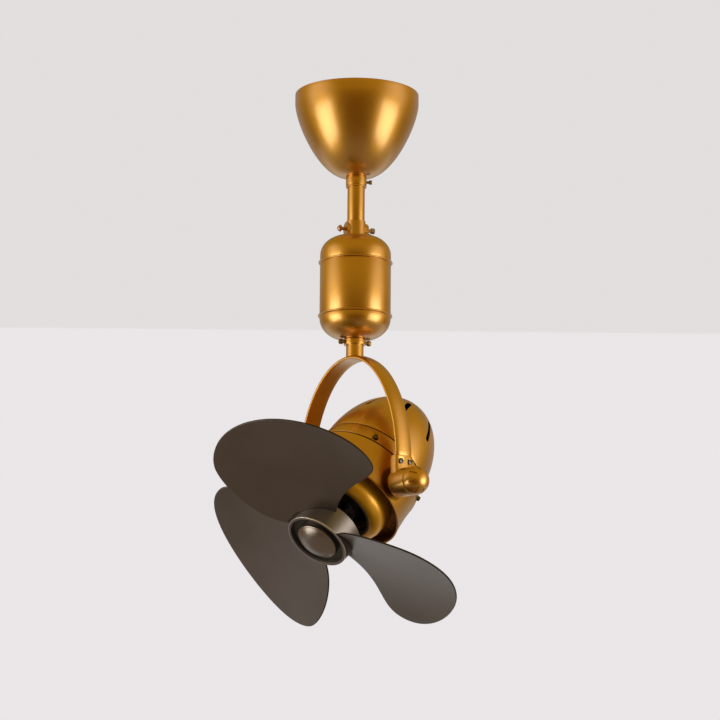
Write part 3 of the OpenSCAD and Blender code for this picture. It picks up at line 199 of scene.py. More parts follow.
# Ceiling bracket
# A zinc-plated pressed steel strap with two ears, hidden in the canopy. The hanger bolt goes
# through the ears, two rubber bushes and the downrod, and a terminal block sits beside it.
coat_rough, coat_index = 0.25, 1.9


def metal(name, tone, shade, rough, metallic=1.0, grain=1400.0, grain_depth=0.00001, flecks=0.12,
          coat=0.0):
    """A finish with soft cloudy tone, a fine grain in its gloss, and tiny flecks."""
    finish = bpy.data.materials.new(name)
    finish.use_nodes = True
    links = finish.node_tree.links
    shader = finish.node_tree.nodes["Principled BSDF"]
    start = Wire(finish.node_tree)
    place = start.node("ShaderNodeTexCoord", output=3)
    cloud = start.node("ShaderNodeTexNoise", (), {"Vector": place, "Scale": 16.0, "Detail": 4.0,
                                                  "Roughness": 0.55})
    fine = start.node("ShaderNodeTexNoise", (), {"Vector": place, "Scale": grain, "Detail": 2.0})
    fleck = start.node("ShaderNodeTexVoronoi", (), {"Vector": place, "Scale": grain * 1.6})
    mixed = cloud * (1 - flecks) + fleck * flecks
    links.new(mixed.between(0.25, 0.7).blend((*shade, 1), (*tone, 1)).socket,
              shader.inputs["Base Color"])
    gloss = rough + (cloud - 0.5) * 0.1 + (fine - 0.5) * 0.08
    links.new(gloss.socket, shader.inputs["Roughness"])
    bump = start.node("ShaderNodeBump", (), {"Height": fine, "Distance": grain_depth})
    links.new(bump.socket, shader.inputs["Normal"])
    shader.inputs["Metallic"].default_value = metallic
    shader.inputs["Coat Weight"].default_value = coat
    shader.inputs["Coat Roughness"].default_value = coat_rough
    shader.inputs["Coat IOR"].default_value = coat_index
    return finish


def paint(finish, *names):
    """Gives a finish to solids that keep their shape."""
    for name in names:
        for slot in nodes[name].material_slots:
            slot.material = finish


zinc = metal("zinc_plate", (0.44, 0.43, 0.40), (0.34, 0.34, 0.33), 0.34)
rubber = metal("bush_rubber", (0.025, 0.024, 0.023), (0.016, 0.015, 0.015), 0.7, 0.0)
terminal_plastic = metal("terminal_plastic", (0.05, 0.05, 0.055), (0.035, 0.035, 0.04), 0.45, 0.0)
paint(zinc, "ceiling_bracket", "hanger_bolt", "rod_nuts")
paint(rubber, "rod_bushes")
paint(terminal_plastic, "terminal_block")

# Downrod
# A drawn steel tube, three quarters of an inch across, in satin antique-gold paint like the
# other outer pieces. Its ends are cut square and lightly rounded.
gold_tone, gold_shade, gold_rough = (0.70, 0.345, 0.006), (0.62, 0.29, 0.004), 0.38
gold = metal("antique_gold", gold_tone, gold_shade, gold_rough, coat=1.0)
rod_r, rod_bore_r = 9.525, 8.025
rod_top, rod_middle, rod_foot = -12, -84, -156.8
hanger_z, hanger_hole_r, hanger_reach = -24, 3.1, 20
pin_z, pin_hole_r, pin_reach = -152.8, 2.1, 19


def pick(piece):
    """Selects one piece alone and makes it the active one."""
    bpy.ops.object.select_all(action="DESELECT")
    piece.select_set(True)
    bpy.context.view_layer.objects.active = piece


def spun(name, rings, sides=144, closed=False):
    """A round piece drawn out of one circle. Each ring is a radius and a height in mm."""
    bpy.ops.object.select_all(action="DESELECT")
    radius, height = rings[0]
    bpy.ops.mesh.primitive_circle_add(vertices=sides, radius=radius / 1000,
                                      location=(0, 0, height / 1000))
    piece = bpy.context.object
    piece.name = name
    bpy.ops.object.transform_apply(location=True)
    bpy.ops.object.mode_set(mode="EDIT")
    bpy.ops.mesh.select_all(action="SELECT")
    for new_radius, new_height in rings[1:] + (rings[:1] if closed else []):
        bpy.ops.mesh.extrude_region_move(
            TRANSFORM_OT_translate={"value": (0, 0, (new_height - height) / 1000)})
        swell = new_radius / radius
        bpy.ops.transform.resize(value=(swell, swell, 1), center_override=(0, 0, 0))
        radius, height = new_radius, new_height
    bpy.ops.mesh.select_all(action="SELECT")
    bpy.ops.mesh.remove_doubles(threshold=0.000005)
    bpy.ops.mesh.normals_make_consistent(inside=False)
    bpy.ops.object.mode_set(mode="OBJECT")
    return piece


def pin(radius, start, end, sides=48):
    """A round bar between two points in mm, as a tool or as a piece's core."""
    start, end = Vector(start) / 1000, Vector(end) / 1000
    bpy.ops.object.select_all(action="DESELECT")
    bpy.ops.mesh.primitive_cylinder_add(
        vertices=sides, radius=radius / 1000, depth=(end - start).length,
        location=(start + end) / 2, rotation=(end - start).to_track_quat("Z", "Y").to_euler())
    bpy.ops.object.transform_apply()
    return bpy.context.object


def apply_modifier(piece, kind, **settings):
    pick(piece)
    modifier = piece.modifiers.new(kind.lower(), kind)
    for key, value in settings.items():
        setattr(modifier, key, value)
    bpy.ops.object.modifier_apply(modifier=modifier.name)
    return piece


def combine(piece, operation, others):
    for other in others:
        apply_modifier(piece, "BOOLEAN", operation=operation, solver="EXACT", object=other)
        bpy.data.objects.remove(other)
    return piece


def cut(piece, *tools):
    return combine(piece, "DIFFERENCE", tools)


def round_edges(piece, width, segments=3, angle=32):
    """Rounds the edges that are sharper than the angle, by a width in mm."""
    return apply_modifier(piece, "BEVEL", width=width / 1000, segments=segments,
                          limit_method="ANGLE", angle_limit=radians(angle), use_clamp_overlap=True)


def fit(piece, body, slot, finish, *names, smooth=38):
    """Gives a finished piece its material and its place in the machine."""
    pick(piece)
    bpy.ops.object.shade_smooth_by_angle(angle=radians(smooth))
    piece.data.materials.clear()
    piece.data.materials.append(finish)
    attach(piece, body)
    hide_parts(*names)


pin_turn = radians(20)
pin_way = Vector((cos(pin_turn), sin(pin_turn), 0))
pin_spot = Vector((0, 0, pin_z))
rod = spun("rod_tube", [(rod_r, rod_top), (rod_r, rod_middle), (rod_r, rod_foot),
                        (rod_bore_r, rod_foot), (rod_bore_r, rod_top)], 96, closed=True)
cut(rod, pin(hanger_hole_r, (0, -hanger_reach, hanger_z), (0, hanger_reach, hanger_z)),
    pin(pin_hole_r, pin_spot - pin_reach * pin_way, pin_spot + pin_reach * pin_way))
round_edges(rod, 0.3, 2)
fit(rod, "ceiling_mount", "gold", gold, "downrod")

# Canopy
# A spun steel bell over the bracket, flared out to the ceiling from a narrow neck. It slides
# down the rod once the collar below it is loosened.
bell_r, bell_foot, neck_r, slide_r = 68.2, -93.3, 11.4, 9.825
spun_sheet = 1.2


def sweep(start, pull_start, pull_end, end, steps):
    """Points of a smooth curve between two points, by its two handles."""
    points = []
    for i in range(steps + 1):
        t = i / steps
        points.append(tuple((1 - t) ** 3 * a + 3 * (1 - t) ** 2 * t * b + 3 * (1 - t) * t * t * c
                            + t ** 3 * d for a, b, c, d in zip(start, pull_start, pull_end, end)))
    return points


def wall(piece, thickness, offset=-1.0):
    """Gives a sheet its thickness in mm, inward unless the offset says otherwise."""
    return apply_modifier(piece, "SOLIDIFY", thickness=thickness / 1000, offset=offset,
                          use_even_offset=True)


bell = sweep((bell_r, -10), (bell_r, -30), (41.4, bell_foot), (neck_r, bell_foot), 40)
canopy = spun("canopy_bell", [(bell_r, 0), (bell_r, -5)] + bell + [(slide_r, bell_foot)], 192)
wall(canopy, spun_sheet)
round_edges(canopy, 0.35, 2, 50)
fit(canopy, "canopy_cover", "gold", gold, "canopy")

# Canopy collar
# A turned ring under the canopy's neck, with a groove near its foot. A small screw at its
# side clamps it on the rod.
collar_top, collar_foot = -93.35, -105.3
groove_r, groove_top, groove_foot = 10.7, -103.3, -104.3
collar_screw_z, collar_screw_hole_r = -99.3, 1.65


def settle(piece, place):
    """Puts a piece made at the origin in its place on the fan."""
    pick(piece)
    piece.matrix_world = place @ piece.matrix_world
    bpy.ops.object.transform_apply()
    return piece


def lift(height):
    """A shift along Z by a height in mm."""
    return Matrix.Translation((0, 0, height / 1000))


outward = Matrix.Rotation(pi / 2, 4, "Y")
collar = spun("canopy_ring", [
    (slide_r, collar_top), (neck_r, collar_top), (neck_r, groove_top), (groove_r, groove_top),
    (groove_r, groove_foot), (neck_r, groove_foot), (neck_r, collar_foot),
    (slide_r, collar_foot)], 96, closed=True)
cut(collar, pin(collar_screw_hole_r, (0, 0, collar_screw_z), (13, 0, collar_screw_z), 32))
round_edges(collar, 0.22, 2)
fit(collar, "canopy_cover", "gold", gold, "canopy_collar")

screw = spun("ring_screw", [(0.001, 9.7), (1.6, 9.7), (1.6, 13.9), (2.2, 13.9), (2.4, 14.2),
                            (2.4, 17.0), (2.0, 17.5), (0.001, 17.5)], 32)
settle(screw, lift(collar_screw_z) @ outward)
fit(screw, "canopy_cover", "steel", zinc, "canopy_collar_screw", smooth=30)

# Rod coupler
# A cast socket that carries the gearbox. The rod stands in it on a crosswise bolt with a
# domed head, a nut and a wire clip.
socket_r, socket_bore_r, socket_top, socket_foot = 10.6, 9.6, -143.9, -161
boss_r, boss_reach, neck_thread_r, wire_bore_r = 7.2, 12, 8, 5
clip_hole_r, clip_hole_out = 0.6, 14.7


def join(piece, *others):
    return combine(piece, "UNION", others)


def box_tool(sides, spot, turn=(0, 0, 0)):
    """A box to cut or join with, by its sides in mm and its middle in metres."""
    bpy.ops.object.select_all(action="DESELECT")
    bpy.ops.mesh.primitive_cube_add(size=0.001, location=spot, rotation=turn, scale=sides)
    bpy.ops.object.transform_apply()
    return bpy.context.object


coupler = pin(socket_r, (0, 0, socket_foot), (0, 0, socket_top), 96)
coupler.name = "rod_socket"
bosses = pin(boss_r, pin_spot - boss_reach * pin_way, pin_spot + boss_reach * pin_way, 72)
foot = box_tool((24, 12.6, 8.2), pin_spot / 1000 - Vector((0, 0, 0.0041)), (0, 0, pin_turn))
join(coupler, bosses, foot, pin(neck_thread_r, (0, 0, -200), (0, 0, -160), 72))
cut(coupler, pin(socket_bore_r, (0, 0, rod_foot), (0, 0, -140), 72),
    pin(wire_bore_r, (0, 0, -212), (0, 0, -150)),
    pin(pin_hole_r, pin_spot - pin_reach * pin_way, pin_spot + pin_reach * pin_way))
round_edges(coupler, 0.5, 3, 30)
fit(coupler, "ceiling_mount", "gold", gold, "rod_coupler", smooth=45)

coppery = metal("coppery_brass", (0.66, 0.42, 0.30), (0.52, 0.31, 0.21), 0.3)
bolt = spun("coupler_bolt", [
    (0.001, -21.4), (1.4, -21.2), (2.5, -20.5), (3.4, -19.3), (3.9, -17.6), (2.0, -17.6),
    (2.0, 14.1), (2.0, 21.4), (1.6, 21.8), (0.001, 21.8)], 48)
settle(bolt, Matrix.Translation(pin_spot / 1000) @ Matrix.Rotation(pin_turn, 4, "Z") @ outward)
cut(bolt, pin(clip_hole_r, pin_spot + clip_hole_out * pin_way - Vector((0, 0, 10)),
              pin_spot + clip_hole_out * pin_way + Vector((0, 0, 10)), 24))
fit(bolt, "ceiling_mount", "screw_brass", coppery, "coupling_bolt")
paint(zinc, "bolt_clip")

# Gearbox casing
# Two spun caps and a rolled sleeve, joined by two beaded rings. The upper cap is clamped on
# the coupler's neck, and the lower cap leaves a hole for the output shaft.
casing_r, casing_bore_r, casing_top, casing_foot = 38.8, 37.6, -161.05, -276
bead_r, bead_half, upper_bead_z, lower_bead_z = 1.8, 1.15, -190.5, -250
seat_bore_r, seat_r, seat_half = 36.4, 37.5, 4


def quarter(flat, corner_r, corner_h, steps=22):
    """A cap's outside from its flat middle round its corner: radius, and depth below the top."""
    return [(flat + corner_r * sin(pi / 2 * i / steps), corner_h * (1 - cos(pi / 2 * i / steps)))
            for i in range(steps + 1)]


def gather(pieces, name):
    """Joins like pieces as one object, without merging them."""
    bpy.ops.object.select_all(action="DESELECT")
    for piece in pieces:
        piece.select_set(True)
    bpy.context.view_layer.objects.active = pieces[0]
    bpy.ops.object.join()
    pieces[0].name = name
    return pieces[0]


upper = [(r, casing_top - d) for r, d in quarter(13.8, 25, 21)]
cap_top = spun("casing_top", [(8.1, casing_top)] + upper + [(casing_r, -189.35)])
wall(cap_top, spun_sheet)
round_edges(cap_top, 0.2, 2, 50)
fit(cap_top, "ceiling_mount", "gold", gold, "gearbox_upper_cap")

bead = [(casing_r + bead_r * cos(radians(a)), bead_half * sin(radians(a)))
        for a in range(-90, 91, 15)]
ring = [(seat_bore_r, -seat_half), (seat_r, -seat_half), (seat_r, -bead_half)] + bead + [
    (seat_r, bead_half), (seat_r, seat_half), (seat_bore_r, seat_half)]
beads = gather([spun("casing_bead", [(r, z + height) for r, z in ring], closed=True)
                for height in (upper_bead_z, lower_bead_z)], "casing_bead")
fit(beads, "ceiling_mount", "gold", gold, "gearbox_beads")

sleeve = spun("casing_sleeve", [(casing_r, -191.7), (casing_r, -220), (casing_r, -248.8),
                                (casing_bore_r, -248.8), (casing_bore_r, -191.7)], closed=True)
round_edges(sleeve, 0.2, 2)
fit(sleeve, "ceiling_mount", "gold", gold, "gearbox_sleeve")

lower = [(r, d + casing_foot) for r, d in quarter(10.8, 28, 23.5)]
cap_low = spun("casing_bottom", [(8.5, casing_foot)] + lower + [(casing_r, -251.2)])
wall(cap_low, spun_sheet)
round_edges(cap_low, 0.2, 2, 50)
fit(cap_low, "ceiling_mount", "gold", gold, "gearbox_lower_cap")

# Orbit drive
# Inside the casing: a plate stack on three pillars, a geared motor with its pinion, the big
# gear on the hollow output shaft, and three slip rings with their brush holder.
bronze = metal("bearing_bronze", (0.50, 0.30, 0.12), (0.40, 0.23, 0.09), 0.36)
slip_brass = metal("ring_brass", (0.62, 0.44, 0.16), (0.52, 0.36, 0.12), 0.25)
paint(zinc, "gearbox_top_plate", "coupler_nut", "gearbox_pillars", "motor_plate", "bearing_plate",
      "output_bearing", "orbit_motor", "output_shaft", "shaft_clip")
paint(bronze, "upper_bush", "orbit_pinion", "orbit_gear")
paint(slip_brass, "slip_rings")
paint(terminal_plastic, "brush_block")

# Stem and its collar
# A short tube hangs on the output shaft. Two round-headed screws through a clamp collar hold
# it there, and its foot is saddled and brazed on the yoke's strap.
yoke_angle, stem_screw_angle = -47.2, 67
stem_top, stem_foot, stem_bore_r = -276.4, -297.3, 7.95
clamp_r, clamp_bore_r, clamp_foot = 12, 9.6, -282.2
clamp_screw_z, clamp_hole_r = -279.3, 1.95
yoke_turn = Matrix.Rotation(radians(yoke_angle), 4, "Z")
stem_place = Matrix.Rotation(radians(yoke_angle + stem_screw_angle), 4, "Z")
half_turns = [Matrix.Rotation(radians(angle), 4, "Z") for angle in (0, 180)]

clamp = spun("stem_ring", [(clamp_bore_r, stem_top), (clamp_r, stem_top), (clamp_r, clamp_foot),
                           (clamp_bore_r, clamp_foot)], 96, closed=True)
cut(clamp, settle(pin(clamp_hole_r, (-24, 0, clamp_screw_z), (24, 0, clamp_screw_z), 32),
                  stem_place))
round_edges(clamp, 0.6, 3)
fit(clamp, "yoke", "gold", gold, "stem_collar")

aged_brass = metal("aged_brass", (0.36, 0.24, 0.11), (0.22, 0.14, 0.06), 0.34)
clamp_screws = [settle(
    spun("stem_screw", [(0.001, 8), (1.9, 8), (1.9, 14.2), (2.6, 14.2), (2.9, 14.5), (2.9, 17.2),
                        (2.5, 18.1), (1.6, 18.4), (0.001, 18.4)], 32),
    lift(clamp_screw_z) @ stem_place @ half_turn @ outward) for half_turn in half_turns]
fit(gather(clamp_screws, "stem_screw"), "yoke", "screw_brass", aged_brass, "stem_screws", smooth=35)

# Yoke strap
# A flat bar, crowned on its outside, bent to half an ellipse. Its ends stand on the knuckles.
# The tongues that go into the knuckles are out of sight and left to the solids.
strap_half, strap_deep, strap_edge = 11, 2.3, 1.6
arch_half, arch_rise, arch_top, arch_end = 78.6, 124, -294.3, -413.6


def strap_section(grow):
    """The strap's outline across its length: distance outward, and across."""
    half, inner = strap_half + grow, -strap_deep - grow
    edge = inner + strap_edge + 2 * grow
    crown = strap_deep + grow - edge
    arc = [(edge + crown * cos(radians(a)), half * sin(radians(a)))
           for a in range(-90, 91, 15)]
    return [(inner, half), (inner, 5.5), (inner, 0), (inner, -5.5), (inner, -half)] + arc


def strap(name, grow=0.0, steps=72):
    """The strap, drawn out of its section from one end of the arch to the other."""
    arch_z = arch_top - strap_deep - arch_rise
    end_turn = asin((arch_end - arch_z) / arch_rise)
    section = strap_section(grow)
    bpy.ops.object.select_all(action="DESELECT")
    bpy.ops.mesh.primitive_circle_add(vertices=len(section), radius=0.01)
    piece = bpy.context.object
    piece.name = name
    stations = []
    for i in range(steps + 1):
        a = pi - end_turn - (pi - 2 * end_turn) * i / steps
        lean = atan2(arch_half * sin(a), arch_rise * cos(a))
        lean = {0: pi, steps: 0.0}.get(i, lean)
        stations.append((arch_half * cos(a), arch_z + arch_rise * sin(a), lean))
    for vertex, (out, across) in zip(piece.data.vertices, section):
        x, z, lean = stations[0]
        vertex.co = Vector((x + out * cos(lean), across, z + out * sin(lean))) / 1000
    bpy.ops.object.mode_set(mode="EDIT")
    bpy.ops.mesh.select_all(action="SELECT")
    bpy.ops.mesh.edge_face_add()
    for (x, z, lean), (new_x, new_z, new_lean) in zip(stations, stations[1:]):
        bpy.ops.mesh.extrude_region_move(
            TRANSFORM_OT_translate={"value": ((new_x - x) / 1000, 0, (new_z - z) / 1000)})
        bpy.ops.transform.rotate(value=new_lean - lean, orient_axis="Y",
                                 center_override=(new_x / 1000, 0, new_z / 1000))
    bpy.ops.mesh.select_all(action="SELECT")
    bpy.ops.mesh.normals_make_consistent(inside=False)
    bpy.ops.object.mode_set(mode="OBJECT")
    return piece


arch = settle(strap("arch_strap"), yoke_turn)
round_edges(arch, 0.5, 3, 40)
fit(arch, "yoke", "gold", gold, "yoke_strap", smooth=40)

stem = spun("stem_tube", [(rod_r, stem_top), (rod_r, stem_foot), (stem_bore_r, stem_foot),
                          (stem_bore_r, stem_top)], 96, closed=True)
cut(stem, settle(strap("saddle_tool", 0.1), yoke_turn))
fit(stem, "yoke", "gold", gold, "stem")

# Knuckles
# Two castings screwed on the strap's tongues. Each carries a barrel on the tilt axis, and its
# outside runs on from the strap's crown.
tilt_z = -442
casting_inner, casting_half, casting_height = 70.7, 12.3, 28.4
crown_middle, crown_deep = 77.78, 3
barrel_r, stud_hole_r = 15.3, 4.05
strap_screw_y, strap_screw_z, strap_hole_r, screw_sink_r = 6.5, -419.9, 1.65, 3.4
knuckle_holes = [(y, strap_screw_z) for y in (-strap_screw_y, strap_screw_y)]
tilt_place = lift(tilt_z) @ outward

for hand in ("right", "left"):
    section = [(casting_inner, casting_half), (casting_inner, -casting_half)]
    section += [(crown_middle + crown_deep * cos(radians(a)), casting_half * sin(radians(a)))
                for a in range(-90, 91, 10)]
    bpy.ops.object.select_all(action="DESELECT")
    bpy.ops.mesh.primitive_circle_add(vertices=len(section), radius=0.01)
    casting = bpy.context.object
    casting.name = "knuckle_" + hand
    for vertex, (x, y) in zip(casting.data.vertices, section):
        vertex.co = Vector((x, y, tilt_z)) / 1000
    bpy.ops.object.mode_set(mode="EDIT")
    bpy.ops.mesh.select_all(action="SELECT")
    bpy.ops.mesh.edge_face_add()
    bpy.ops.mesh.extrude_region_move(
        TRANSFORM_OT_translate={"value": (0, 0, casting_height / 1000)})
    bpy.ops.mesh.select_all(action="SELECT")
    bpy.ops.mesh.normals_make_consistent(inside=False)
    bpy.ops.mesh.select_all(action="DESELECT")
    bpy.ops.object.mode_set(mode="OBJECT")
    for edge in casting.data.edges:
        ends = [casting.data.vertices[i].co for i in edge.vertices]
        edge.select = all(abs(co.x - casting_inner / 1000) < 0.0001 and co.z > -0.42 for co in ends)
    bpy.ops.object.mode_set(mode="EDIT")
    bpy.ops.mesh.select_mode(type="EDGE")
    bpy.ops.mesh.bevel(offset=0.0042, segments=8, affect="EDGES")
    bpy.ops.mesh.select_mode(type="VERT")
    bpy.ops.object.mode_set(mode="OBJECT")
    barrel = spun("barrel", [(stud_hole_r, 69.3), (14.8, 69.3), (barrel_r, 69.8), (barrel_r, 91.7),
                             (14.4, 92.5), (stud_hole_r, 92.5)], 96, closed=True)
    settle(barrel, tilt_place)
    cut(casting, pin(9, (60, 0, tilt_z), (100, 0, tilt_z), 48))
    join(casting, barrel)
    for y, z in knuckle_holes:
        cut(casting, pin(strap_hole_r, (72, y, z), (84, y, z), 32),
            pin(screw_sink_r, (79.8, y, z), (86, y, z), 32))
    cut(casting, box_tool((2.7, 16.2, 13), (0.0781, 0, -0.41955)))
    round_edges(casting, 0.45, 3, 35)
    if hand == "left":
        settle(casting, Matrix.Rotation(pi, 4, "Z"))
    settle(casting, yoke_turn)
    fit(casting, "yoke", "gold", gold, hand + "_knuckle", smooth=45)

# Cap nuts
# Bullet-shaped nuts on the studs' outer ends, with eight short notches round each dome for a
# pin spanner.
notch_count, notch_first, notch_r = 8, 14, 1.2
nut_rings = [(0.001, 101.5), (stud_hole_r, 101.5), (stud_hole_r, 92.8), (14.4, 92.8),
             (barrel_r, 93.6)]
nut_rings += [(barrel_r * cos(radians(a)), 95 + barrel_r * sin(radians(a)))
              for a in range(0, 90, 5)]
nut_rings += [(0.001, 110.3)]
nuts = []
for half_turn in half_turns:
    nut = settle(spun("cap_nut", nut_rings, 96), tilt_place)
    for i in range(notch_count):
        turn = radians(notch_first + 360 // notch_count * i)
        cut(nut, pin(notch_r, (99.6, -14.4 * sin(turn), 14.4 * cos(turn) + tilt_z),
                     (106.6, -9.9 * sin(turn), 9.9 * cos(turn) + tilt_z), 24))
    nuts.append(settle(nut, yoke_turn @ half_turn))
fit(gather(nuts, "cap_nuts"), "yoke", "gold", gold, "tilt_cap_nuts", smooth=35)

fibre = metal("friction_fibre", (0.035, 0.03, 0.026), (0.02, 0.018, 0.016), 0.75, 0.0)
paint(zinc, "tilt_studs")
paint(fibre, "friction_washers")

# Strap screws
# Four cross-recessed pan-head screws in passivated steel hold the knuckles on the strap's
# tongues. Each head sits in a round sinking of the casting.
passivated = metal("passivated_steel", (0.15, 0.14, 0.11), (0.09, 0.085, 0.07), 0.28)
recess_turn, recess_width, recess_deep = 0.4, 0.6, 1.8


def pan_screw(name, shank_r, from_x, seat_x, head_r, top_x):
    """A cross-recessed pan-head screw along X, with its head outward."""
    screw = spun(name, [(0.001, from_x), (shank_r, from_x), (shank_r, seat_x), (head_r, seat_x),
                        (head_r, seat_x + 0.45 * (top_x - seat_x)), (0.9 * head_r, top_x - 0.3),
                        (0.55 * head_r, top_x), (0.001, top_x)], 48)
    for turn in (recess_turn, recess_turn + pi / 2):
        cut(screw, box_tool((head_r, recess_width, recess_deep), (0, 0, top_x / 1000),
                            (0, 0, turn)))
    return settle(screw, outward)


strap_screws = [settle(
    pan_screw("strap_screw", 1.6, 72.7, 79.825, 2.9, 81.975),
    yoke_turn @ half_turn @ Matrix.Translation((0, y / 1000, z / 1000)))
    for half_turn in half_turns for y, z in knuckle_holes]
fit(gather(strap_screws, "strap_screws"), "yoke", "steel", passivated, "knuckle_screws", smooth=35)

# Front shell
# A spun steel shell, waisted at the tilt axis and flared to a rolled lip. Two bosses at its
# sides take the tilt studs, and its spigot goes into the rear shell.
head_lean = 139.3
head_place = lift(tilt_z) @ yoke_turn @ Matrix.Rotation(radians(head_lean), 4, "X")
joint_shade, hollow_shade, shade_dark = (0.09, 0.035, 0.004), (0.26, 0.11, 0.012), (0.15, 0.05, 0.004)
joint_lines = (-0.0251, -0.0422)


def retone(finish, mask, tone, rough):
    """Gives a finish another colour and gloss, and no coat, where the mask is 1."""
    shader, links = finish.node_tree.nodes["Principled BSDF"], finish.node_tree.links
    base, gloss, coat = (shader.inputs[key] for key in ("Base Color", "Roughness", "Coat Weight"))
    toned = mask.blend(Wire(finish.node_tree, base.links[0].from_socket), (*tone, 1))
    glossed = Wire(finish.node_tree, gloss.links[0].from_socket) * (1 - mask) + rough * mask
    links.new(toned.socket, base)
    links.new(glossed.socket, gloss)
    if coat.default_value:
        coated = (Wire(finish.node_tree, coat.links[0].from_socket) if coat.links
                  else coat.default_value)
        links.new(((1 - mask) * coated).socket, coat)


def head_spot(finish):
    """Place on the motor head in metres: X along the tilt axis, Z along the rotor's axis."""
    start = Wire(finish.node_tree)
    return parts_of(start.node("ShaderNodeMapping", {"vector_type": "TEXTURE"}, {
        "Vector": start.node("ShaderNodeTexCoord", output=3),
        "Location": head_place.to_translation(), "Rotation": head_place.to_euler()}))


def head_axes(finish):
    """Distance along the rotor's axis, and squared distance from it."""
    x, y, z = head_spot(finish)
    return z, x * x + y * y


housing_gold = metal("housing_gold", gold_tone, gold_shade, gold_rough, coat=1.0)
along, off_axis = head_axes(housing_gold)
# A dark band of painted shade runs along each joint line, where the seam's gap lies in shadow.
for joint in joint_lines:
    near = 1 - ((along - joint) * (along - joint)).between(0.0005 ** 2, 0.0010 ** 2)
    retone(housing_gold, near, joint_shade, 0.6)
# The well inside the lip, above the floor, is darkened: painted shade in the recess.
within_lip = 1 - (off_axis - along * 0.0111).between(0.00372, 0.00385)
above_floor = along.between(0.0035, 0.0045) * (1 - along.between(0.0160, 0.0172))
retone(housing_gold, within_lip * above_floor, hollow_shade, 0.5)
# A dark ring round each side boss, where the knuckle's barrel meets the shell, is a painted contact
# shadow.
x, y, z = head_spot(housing_gold)
boss_contact_shadow = ((1 - (y * y + z * z).between(0.0158 ** 2, 0.0195 ** 2))
              * (x * x).between(0.050 ** 2, 0.054 ** 2) * 0.85)
retone(housing_gold, boss_contact_shadow, shade_dark, 0.5)

lip_z, lip_floor_z, spigot_step_z, spigot_foot_z = 17.5, 6.5, -25, -37
head_screw_z, head_hole_r = -31.05, 1.55
head_screw_turns = [radians(42.0 + 90 * i) for i in range(4)]
floor_bore_r, boss_pad_r, boss_face = 44.5, 12, 67.1


def flare(z):
    """The shell's outer radius at a height, in mm."""
    return 62.6 + (z + 8) ** 2 / 433


def around(radius, out_from, out_to):
    """Round tools for the head's four screws, pointing outward."""
    rise = Vector((0, 0, head_screw_z))
    tools = []
    for turn in head_screw_turns:
        way = Vector((cos(turn), sin(turn), 0))
        tools.append(pin(radius, out_from * way + rise, out_to * way + rise, 32))
    return tools


outside = [(62.2, spigot_step_z), (63.2, -24.2)]
outside += [(flare(-23.5 + 41 * i / 21), -23.5 + 41 * i / 21) for i in range(22)]
roll = [(63.4 + cos(radians(a)), lip_z + 1.2 * sin(radians(a))) for a in range(20, 161, 20)]
inside = [(flare(lip_z - 11 * i / 6) - 2, lip_z - 11 * i / 6) for i in range(7)]
front = spun("shell_front", outside + roll + inside + [
    (floor_bore_r, lip_floor_z), (floor_bore_r, 4), (59.4, 4), (59.4, spigot_step_z), (56.9, -26),
    (56.9, spigot_foot_z), (58.9, spigot_foot_z), (58.9, spigot_step_z)], 180, closed=True)
join(front, pin(boss_pad_r, (60, 0, 0), (boss_face, 0, 0), 72),
     pin(boss_pad_r, (-boss_face, 0, 0), (-60, 0, 0), 72))
cut(front, pin(stud_hole_r, (60.5, 0, 0), (70, 0, 0)), pin(stud_hole_r, (-70, 0, 0), (-60.5, 0, 0)),
    *around(head_hole_r, 54, 61))
round_edges(front, 0.35, 2, 35)
settle(front, head_place)
fit(front, "head", "gold", housing_gold, "front_shell", smooth=40)

# Housing band
# A turned band that covers the joint of the two shells. Four screws in sinkings hold both
# shells under it.
band = spun("shell_band", [(59.0, -25.25), (62.2, -25.25), (63.1, -26.0), (60.6, -39.4),
                           (60.3, -41.4), (59.6, -42.0), (59.0, -42.0)], 176, closed=True)
cut(band, *around(head_hole_r, 56, 66), *around(screw_sink_r, 60.0, 66))
round_edges(band, 0.3, 2, 25)
settle(band, head_place)
fit(band, "head", "gold", housing_gold, "housing_band", smooth=40)

shell_screws = [settle(pan_screw("shell_screw", 1.5, 54.8, 60.05, 2.8, 65.2),
                       head_place @ Matrix.Rotation(turn, 4, "Z") @ lift(head_screw_z))
                for turn in head_screw_turns]
fit(gather(shell_screws, "shell_screws"), "head", "steel", passivated, "band_screws", smooth=35)

# Rear shell
# A deep-drawn dome with eight vent slots along its sides and a dark inside. The band's four
# screws go through its rim.
dome_r, dome_high, dome_foot, dome_sheet = 59.8, 88.5, -42.3, 2
vent_count, vent_first, vent_r, vent_stretch, vent_z = 8, 37, 2.8, 12.7, -94.3
dome = [(dome_r * cos(radians(a)), dome_foot - dome_high * sin(radians(a)))
        for a in range(3, 90, 3)]
rear = spun("shell_rear", [(56.8, -28), (56.8, dome_foot), (58.7, dome_foot), (59.75, -43.5)]
            + dome + [(0.001, dome_foot - dome_high)], 180)
wall(rear, dome_sheet)
for i in range(vent_count):
    bpy.ops.object.select_all(action="DESELECT")
    bpy.ops.mesh.primitive_cylinder_add(
        vertices=32, radius=vent_r / 1000, depth=0.06, location=(0.04, 0, vent_z / 1000),
        rotation=(0, pi / 2, 0))
    bpy.ops.object.transform_apply()
    tool = bpy.context.object
    for way in (-1, 1):
        bpy.ops.object.mode_set(mode="EDIT")
        bpy.ops.mesh.select_all(action="DESELECT")
        bpy.ops.object.mode_set(mode="OBJECT")
        for vertex in tool.data.vertices:
            vertex.select = (vertex.co.z - vent_z / 1000) * way > 0
        bpy.ops.object.mode_set(mode="EDIT")
        bpy.ops.transform.translate(value=(0, 0, vent_stretch / 1000 * way))
        bpy.ops.object.mode_set(mode="OBJECT")
    cut(rear, settle(tool, Matrix.Rotation(radians(vent_first + 360 // vent_count * i), 4, "Z")))
cut(rear, *around(head_hole_r, 52, 59))
round_edges(rear, 0.35, 2, 40)
settle(rear, head_place)

